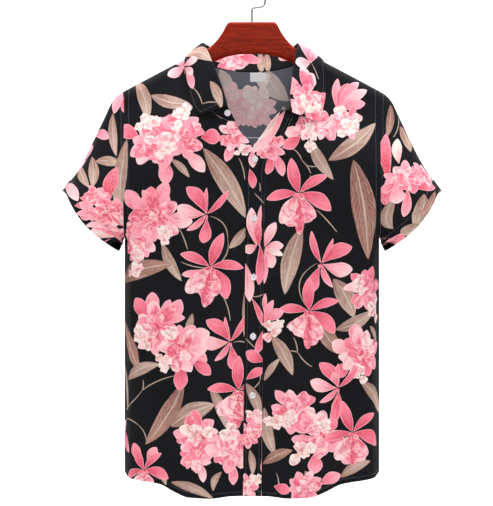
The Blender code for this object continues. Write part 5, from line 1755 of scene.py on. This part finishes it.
COLLAR = in_mm(
    CollarStation, 2,
    (0.0, FRONT, -41.5, -57.5, -209.5, -85.5, -226.1, 3.2), (0.3, FRONT, -48, -51.5, -187, -96.5, -214, 3),
    (0.54, FRONT, -55.5, -44.5, -165, -103.2, -198, 3), (0.76, FRONT, -67, -31, -137, -109, -171, 3),
    (0.86, FRONT, -72.5, -22.5, -123, -111.5, -154.5, 3),
    (0.94, FRONT, -77.5, -13, -110.5, -112, -138.5, 2.8),
    (1.0, FRONT, -80, 0, -104.5, -111, -129.9, 2.4), (1.3, BACK, -68, 28, -109.5, -99, -144, 3.2),
    (1.67, BACK, -40, 41, -116.5, -57, -159, 3.4), (2.0, BACK, 0, 45, -118.5, 0, -163, 3.4),
    (2.33, BACK, 40, 41, -116.5, 59, -160, 3.4), (2.7, BACK, 67, 28, -109.5, 104, -149, 3.2),
    (3.0, FRONT, 76.5, 0, -104, 118, -133.8, 2.4), (3.06, FRONT, 75.8, -13.5, -111, 120.8, -144, 2.8),
    (3.14, FRONT, 73.5, -23.5, -124.5, 122.4, -156, 3), (3.24, FRONT, 70.5, -33, -141, 123.3, -170, 3),
    (3.46, FRONT, 66.5, -46.5, -171, 121.6, -192.5, 3), (3.7, FRONT, 63.5, -56, -197, 117.6, -214, 3),
    (4.0, FRONT, 64, -65, -219.5, 111.2, -236.7, 3.2),
)


@dataclass
class Collar:
    """The stand rises from the neckline to the fold, and the fall rolls over it and lies down outside."""

    stand_lift: float = 1.3 * MM
    fall_gap: float = 0.5 * MM
    roll: float = 3.2 * MM
    leaf_spring: float = 1.5 * MM
    leaf_rows: int = 5
    fine: int = 10  # steps between two of the part's places
    rows: int = 34
    stand_rows: int = 14
    cloth: PrintedCloth = PrintedCloth(double=True)

    def places(self) -> Array:
        """Places round the neckline, close together at the neck points."""
        toward = 1 - np.linspace(1, 0, 9) ** 2
        parts = np.concatenate([toward, 2 - toward[-2::-1], 2 + toward[1:], 4 - toward[-2::-1]])
        last = len(parts) - 1
        return np.interp(np.linspace(0, last, last * self.fine + 1), np.arange(len(parts)), parts)

    def lines(self, places: Array) -> tuple:
        """The collar's seam, its fold and its leaf's edge at places round the neck."""
        seam = np.array([BODY.point(*BODY.neck_arc(at)) for at in places])
        at, edge_x = column(COLLAR, "at"), column(COLLAR, "edge_x")
        arcs = column(COLLAR, "edge_side") * BODY.arc(edge_x, column(COLLAR, "edge_z"))
        folds = [column(COLLAR, name) for name in ("fold_x", "fold_y", "fold_z")]
        *fold, x, arc, off = (
            curve_through(places, at, values) for values in (*folds, edge_x, arcs, column(COLLAR, "edge_off"))
        )
        return seam, np.stack(fold, axis=-1), BODY.point(x, arc, CLOTH / 2 + off)

    def frame(self, seam: Array, fold: Array) -> tuple:
        """The stand's directions outwards, and on past its fold."""
        along = np.gradient(fold, axis=0)
        outwards = unit(np.cross(fold - seam, along + np.gradient(seam, axis=0)))
        return outwards, unit(np.cross(along, outwards))

    def stand(self) -> ClothForm:
        """The stand's form."""
        places = self.places()
        seam, fold, _ = self.lines(places)
        outwards, _ = self.frame(seam, fold)
        facing = np.array([BODY.facing(*BODY.neck_arc(at)) for at in places])
        start = seam + unit(np.cross(np.gradient(seam, axis=0), facing)) * self.stand_lift
        points = start[:, None] + (fold - start)[:, None] * np.linspace(0, 1, self.stand_rows)[None, :, None]
        return self.strip(points, np.repeat(outwards[:, None], self.stand_rows, axis=1))

    def fall(self) -> ClothForm:
        """The fall's form."""
        seam, fold, edge = self.lines(self.places())
        outwards, onwards = self.frame(seam, fold)
        rest = CLOTH / 2 + self.fall_gap
        rows = [fold + onwards * rest * past + outwards * out * self.roll
                for past, out in ((1.0, 0.1), (1.1, 0.6), (0.3, 1.0))]
        first = rows[-1]
        for step in range(1, self.leaf_rows + 1):
            share = step / self.leaf_rows
            spring = outwards * self.leaf_spring * math.sin(math.pi * share)
            rows.append(first + (edge - first) * share + spring)
        points = np.array([path_through(line, self.rows) for line in np.stack(rows, axis=1)])
        normals = grid_normals(points)
        if np.sum(normals[:, -8, 1] * np.where(points[:, -1, 1] < 0, -1.0, 1.0)) < 0:
            normals = -normals
        return self.strip(points, normals)

    @staticmethod
    def strip(points: Array, normals: Array) -> ClothForm:
        """A strip's form, laid flat along its middle and down each of its lines."""
        down = lengths(points, axis=1)
        along = lengths(points[:, points.shape[1] // 2])[:, None] + 0 * down
        return ClothForm(points, normals, np.stack([along, down], axis=-1))

    def build(self) -> dict:
        """Returns:
            Their forms, by name.
        """
        forms = {"collar_stand": self.stand(), "collar_fall": self.fall()}
        cuttings = (Cutting((0.5, 0.032)), Cutting((0.56, 0.05)))
        for (name, form), rows, cutting in zip(forms.items(), ((), COLLAR_PRINT), cuttings):
            shapes = form.printed(STAND_PRINT, BACK) + form.printed(rows)
            cut = form.cut(shapes, fine=1.8 * MM)
            piece = sew(name + "_cloth", [cut], self.cloth.material(name + "_print"))
            declare(piece, name, cutting)
        return forms


# ---- label ----


@dataclass
class Label:
    """The small blank label inside the back of the neck."""

    width: float = 27 * MM
    height: float = 15 * MM
    left_x: float = -3 * MM
    top_z: float = -151.0 * MM
    wall: float = 1.0 * MM
    shown_wall: float = 0.6 * MM

    def build(self) -> None:
        xs = self.left_x + np.linspace(0, self.width, 25)
        zs = self.top_z - np.linspace(0, self.height, 15)
        x, z = np.meshgrid(xs, zs, indexing="ij")
        arc = BODY.arc(x, z)
        points = BODY.point(x, arc, -(CLOTH + self.wall) / 2 - 2.5 * SEAM)
        form = ClothForm(points, BODY.facing(x, arc), np.stack([x, -z], axis=-1))
        satin = LabelCloth().material("label_satin")
        piece = sew("label_ribbon", [form.cut([], step=1.5 * MM)], satin, wall=self.shown_wall)
        declare(piece, "neck_label", Cutting((self.width, self.height)))


# ---- buttons ----


@dataclass
class Buttons:
    """One button on the stand's front end, left open, and five down the band, fastened."""

    radius: float = 5.2 * MM
    thickness: float = 2.2 * MM
    hole_radius: float = 0.8 * MM
    hole_out: float = 1.55 * MM
    x: float = 4.6 * MM
    first_z: float = -299 * MM
    spacing: float = 97.3 * MM
    count: int = 5
    collar_at: float = 0.09
    collar_height: float = 0.4
    hole_length: float = 13 * MM

    def seats(self) -> list:
        """Each button's name, seat and direction."""
        seat, collar = CLOTH / 2 + SEAM, Collar()
        seam, fold, _ = collar.lines(np.array([0.0, self.collar_at, 2 * self.collar_at]))
        out = collar.frame(seam, fold)[0][1]
        middle = seam[1] + (fold[1] - seam[1]) * self.collar_height
        found = [("button_collar", middle + out * (seat + 0.3 * SEAM), out)]
        for number in range(self.count):
            arc = -BODY.arc(self.x, self.first_z - number * self.spacing)
            out = BODY.facing(self.x, arc)
            found.append((f"button_{number + 2}", BODY.point(self.x, arc) + out * (seat + 0.1 * SEAM), out))
        return found

    def frame(self, out: Array) -> Array:
        """A button's directions across, up and out."""
        out = unit(out)
        across = unit(np.cross(out, (0.0, 0.0, 1.0)))
        return np.stack([across, np.cross(out, across), out])

    def height(self, r: Array) -> Array:
        """Height of its face over its seat: a round rim and a dished middle."""
        shares, heights = (0.0, 0.6, 0.72, 0.84, 0.93, 1.0), (0.70, 0.74, 0.93, 1.0, 0.93, 0.72)
        return np.interp(r / self.radius, shares, heights) * self.thickness

    def disc(self) -> tuple:
        """A button with its four holes.

        Returns:
            Points across, up and out, and triangles.
        """
        turn = np.linspace(0, 2 * math.pi, 56, endpoint=False)
        round_line = np.stack([np.cos(turn), np.sin(turn)], axis=-1)
        rings = [round_line * self.radius * share for share in (1.0, 0.97, 0.93, 0.88, 0.82, 0.76, 0.7, 0.62)]
        holes = [heading(math.radians(45 + 90 * k), self.hole_out) + round_line[::4] * self.hole_radius
                 for k in range(4)]
        starts = np.cumsum([0] + [len(loop) for loop in rings + holes])
        edges = np.vstack([ring(len(loop), start) for start, loop in zip(starts, rings + holes)])
        flat, faces = triangulated(np.vstack([*rings, *holes, [(0.0, 0.0)]]), edges, rings[0])
        for hole in holes:
            faces = faces[~inside(hole, flat[faces].mean(axis=1))]
        r = np.linalg.norm(flat, axis=1)
        under = np.where(r > 0.95 * self.radius, 0.3 * self.thickness, 0.0)
        points = np.concatenate([np.column_stack([flat, height]) for height in (self.height(r), under)])
        return points, walled(faces, len(flat))[0]

    def build(self) -> None:
        """Builds and declares each button, and the thread that holds them."""
        points, faces = self.disc()
        strands = []
        for name, seat, out in self.seats():
            frame_of = self.frame(out)
            turned = faces if np.linalg.det(frame_of) > 0 else faces[:, ::-1]
            shell = Pearl().material(name + "_shell")
            declare(solid(name + "_pearl", seat + points @ frame_of, turned, shell, crease=42), name)
            strands += [seat + self.strand(side) @ frame_of for side in (-1, 1)]
        thread = wire("button_thread", strands, 0.42 * MM, 2)
        thread.data.materials.append(Thread((226, 218, 214)).material("button_thread_twist"))
        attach(thread, "root")
        log.info("%s: %d faces", thread.name, len(thread.data.polygons))

    def strand(self, side: int) -> Array:
        """One of a button's two bars of thread: over it, and down through two holes."""
        half, top = self.hole_out * math.sqrt(0.5), 0.72 * self.thickness
        rise = ((half, 0.2 * MM), (half, top - 0.1 * MM), (0.8 * half, top + 0.42 * MM))
        bar = [*rise, (0.0, top + 0.55 * MM), *((-up, out) for up, out in reversed(rise))]
        return path_through([(side * half, up, out) for up, out in bar], 14)


# ---- stitching ----


@dataclass
class Stitching:
    """Rows of thread stitches, set along runs by a node group."""

    name: str
    colour: tuple
    spacing: float = 3.0 * MM
    length: float = 2.3 * MM
    width: float = 0.5 * MM
    turn: float = 0.0  # from the run's own direction, in radians
    wobble: float = 0.05
    seed: int = 11
    runs: list = field(default_factory=list)

    def add(self, form: ClothForm, picked: tuple, lift: float = 0.0) -> None:
        """Adds a line of a form's grid as a run on the cloth's outside.

        Args:
            form: The cloth's form.
            picked: The grid's rows and columns.
            lift: How far the cloth's middle lies off its form.
        """
        points, normals = form.points[picked], form.normals[picked]
        self.runs.append((points + normals * (lift + SHOWN_WALL / 2 + 0.12 * MM), normals))

    def group(self, material: Material) -> bpy.types.NodeTree:
        """The node group: a run becomes a curve, and a small thread lies at each step along it."""
        tree = bpy.data.node_groups.new(self.name + "_nodes", "GeometryNodeTree")
        kinds = {"Geometry": "Geometry", "Seed": "Int"}
        for name in ("Geometry", "Spacing", "Length", "Width", "Turn", "Wobble", "Seed"):
            kind = "NodeSocket" + kinds.get(name, "Float")
            tree.interface.new_socket(name, in_out="INPUT", socket_type=kind)
        tree.interface.new_socket("Geometry", in_out="OUTPUT", socket_type="NodeSocketGeometry")
        nodes = Nodes(tree)
        out, given = nodes.out, nodes.add("NodeGroupInput").outputs
        curve = out("GeometryNodeMeshToCurve", {"Mesh": given["Geometry"]})
        steps = out("GeometryNodeResampleCurve", {"Curve": curve, "Length": given["Spacing"]}, mode="LENGTH")
        outwards = out("GeometryNodeInputNamedAttribute", {"Name": "out"}, data_type="FLOAT_VECTOR")
        tangent = out("GeometryNodeInputTangent")
        along = out("FunctionNodeAlignRotationToVector", {"Vector": tangent}, axis="X")
        upright = out("FunctionNodeAlignRotationToVector", {"Rotation": along, "Vector": outwards}, axis="Z",
                      pivot_axis="X")
        least = nodes.math("MULTIPLY", given["Wobble"], -1.0)
        inputs = {"Min": least, "Max": given["Wobble"], "Seed": given["Seed"]}
        sways = nodes.add("FunctionNodeRandomValue", inputs, data_type="FLOAT").outputs
        angle = nodes.math("ADD", given["Turn"], next(socket for socket in sways if socket.enabled))
        spin = out("FunctionNodeAxisAngleToRotation", {"Axis": (0.0, 0.0, 1.0), "Angle": angle})
        inputs = {"Rotation": upright, "Rotate By": spin}
        turned = out("FunctionNodeRotateRotation", inputs, rotation_space="LOCAL")
        thread = out("GeometryNodeMeshUVSphere", {"Segments": 6, "Rings": 5, "Radius": 0.5})
        size = out("ShaderNodeCombineXYZ", {0: given["Length"], 1: given["Width"], 2: given["Width"]})
        shaped = out("GeometryNodeTransform", {"Geometry": thread, "Scale": size})
        rounded = out("GeometryNodeSetShadeSmooth", {"Geometry": shaped})
        inputs = {"Points": steps, "Instance": rounded, "Rotation": turned}
        placed = out("GeometryNodeInstanceOnPoints", inputs)
        real = out("GeometryNodeRealizeInstances", {"Geometry": placed})
        finished = out("GeometryNodeSetMaterial", {"Geometry": real, "Material": material})
        nodes.add("NodeGroupOutput", {"Geometry": finished})
        return tree

    def build(self) -> None:
        """Builds the stitches as one plain mesh."""
        points, normals = (np.concatenate(parts) for parts in zip(*self.runs))
        starts = np.cumsum([0] + [len(run) for run, _ in self.runs])
        mesh = bpy.data.meshes.new(self.name)
        edges = [(int(k), int(k) + 1)
                 for first, last in zip(starts, starts[1:]) for k in range(first, last - 1)]
        mesh.from_pydata(points.tolist(), edges, [])
        store(mesh, "out", "FLOAT_VECTOR", normals, "POINT")
        obj = link(self.name, mesh)
        modifier = obj.modifiers.new("stitches", "NODES")
        modifier.node_group = self.group(Thread(self.colour).material(self.name + "_twist"))
        for item in modifier.node_group.interface.items_tree:
            if item.in_out == "INPUT" and hasattr(self, item.name.lower()):
                modifier[item.identifier] = getattr(self, item.name.lower())
        stitches = as_mesh(obj)
        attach(stitches, "root")
        log.info("%s: %d faces", stitches.name, len(stitches.data.polygons))


def topstitch(body: dict, sleeves: dict, collar: dict) -> Stitching:
    """The rows along every hem, seam and edge."""
    # The thread is dark; this grey is partly its own colour and partly painted highlight, for the gloss that
    # light lays along the stitches
    rows = Stitching("topstitching", (88, 88, 94))
    whole, shoulder = slice(None), BodyPieces().shoulder_rows
    for name, armholes in (("front_right", (3,)), ("front_left", (-4,)), ("back", (3, -4))):
        form = body[name]
        rows.add(form, (whole, -4))
        for row in armholes:
            rows.add(form, (row, form.points[row, :, 2] > BODY.underarm_z))
    for name, picked in (
        ("back", (whole, 2)), ("yoke", (whole, -3)), ("yoke", (slice(0, shoulder), 2)),
        ("yoke", (slice(-shoulder, None), 2)), ("button_band", (2, whole)), ("button_band", (12, whole)),
        ("button_band", (whole, -4)),
    ):
        rows.add(body[name], picked)
    for name, halves in sleeves.items():
        col, lift = (1, CLOTH + Sleeve.cuff_gap) if name.startswith("cuff") else (2, 0.0)
        for form in halves:
            rows.add(form, (whole, col), lift)
    for picked in ((slice(4, -4), -4), (4, slice(12, -4)), (-5, slice(12, -4))):
        rows.add(collar["collar_fall"], picked)
    return rows


def buttonholes(buttons: Buttons) -> Stitching:
    """Five upright buttonholes, each two close rows of stitches and a bar at either end."""
    rows = Stitching(
        "buttonhole_thread", (120, 118, 124), spacing=0.55 * MM, length=1.7 * MM, width=0.42 * MM,
        turn=math.pi / 2, seed=12,
    )
    half = buttons.hole_length / 2
    for number in range(buttons.count):
        middle = buttons.first_z - number * buttons.spacing
        sides = [np.linspace((side, -half), (side, half), 8) for side in (-1.0 * MM, 1.0 * MM)]
        bars = [np.linspace((-1.6 * MM, end), (1.6 * MM, end), 4) for end in (-half, half)]
        for line in sides + bars:
            x = buttons.x + line[:, 0]
            arc = -BODY.arc(x, middle + line[:, 1])
            normals = BODY.facing(x, arc)
            rows.runs.append((BODY.point(x, arc) + normals * (SHOWN_WALL / 2 + 0.1 * MM), normals))
    return rows


# ---- hanger and hook ----


class HangerSection(NamedTuple):
    """The hanger's upper and lower outline and half its thickness, at one distance from its middle."""

    x: float
    top_z: float
    bottom_z: float
    half: float


# The sections of its raised middle.
HANGER_NECK = in_mm(
    HangerSection, 0, (0, -68, -121.3, 7), (20, -68, -122.3, 7), (36, -68, -125, 7), (39.2, -68.8, -125.6, 7),
    (42.6, -73, -126.6, 7), (49.3, -85.4, -128.8, 7.4), (60.4, -100.4, -133.4, 8.2),
    (74.5, -112.6, -140.4, 9.2),
)


@dataclass
class Hanger:
    """The lacquered wooden hanger: rounded sections from one arm's end to the other's."""

    end_x: float = 204 * MM
    clearance: float = 1.0 * MM
    arm_half: float = 11 * MM
    height_at_neck: float = 28 * MM
    height_at_end: float = 23 * MM
    tip_length: float = 4 * MM
    sides: int = 40

    def sections(self) -> Array:
        """Fine sections from its middle to the end of one arm: x, top, bottom and half."""
        rows = list(HANGER_NECK)
        start = rows[-1]
        for share in np.linspace(0, 1, 9)[1:]:
            x = start.x + (self.end_x - start.x) * share
            top = float(BODY.ridge_z(x)) - CLOTH / 2 - self.clearance
            tall = self.height_at_neck + (self.height_at_end - self.height_at_neck) * share
            half = start.half + (self.arm_half - start.half) * math.sin(math.pi / 2 * min(1.0, 1.6 * share))
            rows.append(HangerSection(x, top, top - tall, half))
        runs = ((0, 32 * MM, 7), (34 * MM, 80 * MM, 36), (84 * MM, self.end_x, 34))
        xs = np.concatenate([np.linspace(*run) for run in runs])
        read = [curve_through(xs, column(rows, "x"), column(rows, name))
                for name in ("top_z", "bottom_z", "half")]
        fine = np.column_stack([xs, *read])
        turn = np.linspace(0, math.pi / 2, 9)[1:]
        last = fine[-1]
        middle, tall = (last[1] + last[2]) / 2, (last[1] - last[2]) / 2
        run, size = self.tip_length * np.sin(turn), np.maximum(np.cos(turn), 0.02) ** 0.8
        centre = middle - BODY.shoulder_slope * run
        tip = np.column_stack([last[0] + run, centre + tall * size, centre - tall * size, last[3] * size])
        return np.vstack([fine, tip])

    def build(self) -> None:
        half = self.sections()
        x, top, bottom, thick = np.vstack([half[:0:-1] * (-1, 1, 1, 1), half]).T[..., None]
        turn = 2 * math.pi * (np.arange(self.sides) + 0.5) / self.sides
        radius = np.minimum(thick, (top - bottom) / 2)
        centre = np.where(np.cos(turn)[None] > 0, top - radius, bottom + radius)
        points = np.stack([x + 0 * centre, thick * np.sin(turn), centre + radius * np.cos(turn)], axis=-1)
        number = np.arange(points[..., 0].size).reshape(points.shape[:2])
        faces = [grid_triangles(np.hstack([number, number[:, :1]]))]
        for end, order in ((0, 1), (-1, -1)):
            rim = number[end]
            fan = np.stack([np.full(self.sides - 2, rim[0]), rim[1:-1], rim[2:]], axis=-1)
            faces.append(fan[:, ::order])
        lacquer = Lacquer().material("hanger_lacquer")
        wood = solid("hanger_wood", points.reshape(-1, 3), np.concatenate(faces), lacquer, crease=50)
        declare(wood, "hanger")


# The middle line of the hook's shank, from inside the wood to where its loop starts.
SHANK = in_mm(
    Place, 0, (0, -67.8), (0, -60), (0, -51), (0.6, -46.8), (3.4, -44.8), (9, -44.2), (15, -43.3),
    (18.8, -41.4), (21.2, -38), (22, -33),
)


@dataclass
class Hook:
    """The wire hook: up from the hanger, a jog to the side, then the loop over the rail."""

    wire_radius: float = 1.75 * MM
    loop_radius: float = 22 * MM
    loop_turn: float = 205.0  # degrees
    end_step: float = 1.2 * MM  # between the last points of its round end

    def line(self) -> Array:
        """The wire's middle line."""
        centre = self.wire_radius - self.loop_radius
        turns = np.radians(np.linspace(0, self.loop_turn, 15))
        loop = [(self.loop_radius * math.cos(turn), centre + self.loop_radius * math.sin(turn))
                for turn in turns]
        flat = path_through([*SHANK, *loop], 160)
        return np.stack([flat[:, 0], 0 * flat[:, 0], flat[:, 1]], axis=-1)

    def build(self) -> None:
        shares = [max(0.0, 1 - k * self.end_step / self.wire_radius) for k in range(2)]
        ends = [math.sqrt(max(0.06, 1 - share**2)) for share in shares]
        piece = wire("hook_wire", [self.line()], self.wire_radius, 6, ends)
        piece.data.shade_smooth()
        piece.data.materials.clear()
        piece.data.materials.append(PolishedWire().material("hook_plating"))
        declare(piece, "hook")


# ---- studio ----


@dataclass
class Studio:
    """A pale sweep, soft lights and a level camera in front of the shirt."""

    middle_x: float = -9.1 * MM
    middle_z: float = -453.5 * MM
    view_height: float = 0.840
    distance: float = 4.2
    sensor: float = 36.0
    floor_z: float = -1.35
    wall_y: float = 1.9
    sweep: float = 0.7
    half: float = 6.0

    def build(self) -> None:
        """Sets the sweep, the lights, the world and the camera."""
        self.set_sweep()
        self.set_light("front_light", (0.25, -3.6, 0.3), 1.6, 34.0)
        self.set_light("key_light", (-1.6, -2.6, 1.2), 2.0, 10.0)
        self.set_light("fill_light", (1.9, -2.4, 0.3), 2.4, 6.0)
        self.set_light("wall_light", (0.0, 0.7, 1.9), 3.2, 215.0, (0.0, self.wall_y, -0.5))
        world = bpy.data.worlds.new("pale_room")
        world.use_nodes = True
        background = world.node_tree.nodes["Background"]
        background.inputs["Color"].default_value = (0.9, 0.92, 0.95, 1.0)
        background.inputs["Strength"].default_value = 0.2
        bpy.context.scene.world = world
        bpy.context.scene.view_settings.view_transform = "Standard"
        camera = bpy.data.cameras.new("camera")
        camera.sensor_width = self.sensor
        camera.lens = self.sensor * (self.distance - 0.02) / self.view_height
        obj = link("camera", camera)
        obj.location = (self.middle_x, -self.distance, self.middle_z)
        obj.rotation_euler = (math.pi / 2, 0, 0)
        bpy.context.scene.camera = obj

    def set_sweep(self) -> None:
        """The floor, rising in a curve into the wall behind."""
        turn = np.linspace(0, math.pi / 2, 24)
        along = self.wall_y - self.sweep + self.sweep * np.sin(turn)
        y = np.concatenate([[-self.half], along, [self.wall_y]])
        z = np.concatenate([[0.0], self.sweep - self.sweep * np.cos(turn), [self.half]]) + self.floor_z
        points = np.array([(side * self.half, *place) for place in zip(y, z) for side in (-1, 1)])
        first = 2 * np.arange(len(y) - 1)
        faces = np.concatenate([first[:, None] + offsets for offsets in ((0, 1, 3), (0, 3, 2))])
        solid("sweep", points, faces, Backdrop().material("sweep_paper"))

    def set_light(
        self, name: str, place: tuple, size: float, power: float, towards: tuple = (0.0, 0.0, -0.45),
    ) -> None:
        """A square soft light that faces the shirt."""
        light = bpy.data.lights.new(name, "AREA")
        light.size, light.energy = size, power
        obj = link(name, light)
        obj.location = place
        obj.rotation_euler = (Vector(towards) - Vector(place)).to_track_quat("-Z", "Y").to_euler()


def main() -> None:
    """Builds every piece in order."""
    logging.basicConfig(level=logging.INFO, format="%(message)s")
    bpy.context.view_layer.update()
    Studio().build()
    body = BodyPieces().build()
    sleeves = Sleeve("left", 1, LEFT_SLEEVE_PRINT).build() | Sleeve("right", -1, RIGHT_SLEEVE_PRINT).build()
    collar = Collar().build()
    topstitch(body, sleeves, collar).build()
    buttonholes(Buttons()).build()
    Label().build()
    Buttons().build()
    Hanger().build()
    Hook().build()


if __name__ == "__main__":
    main()
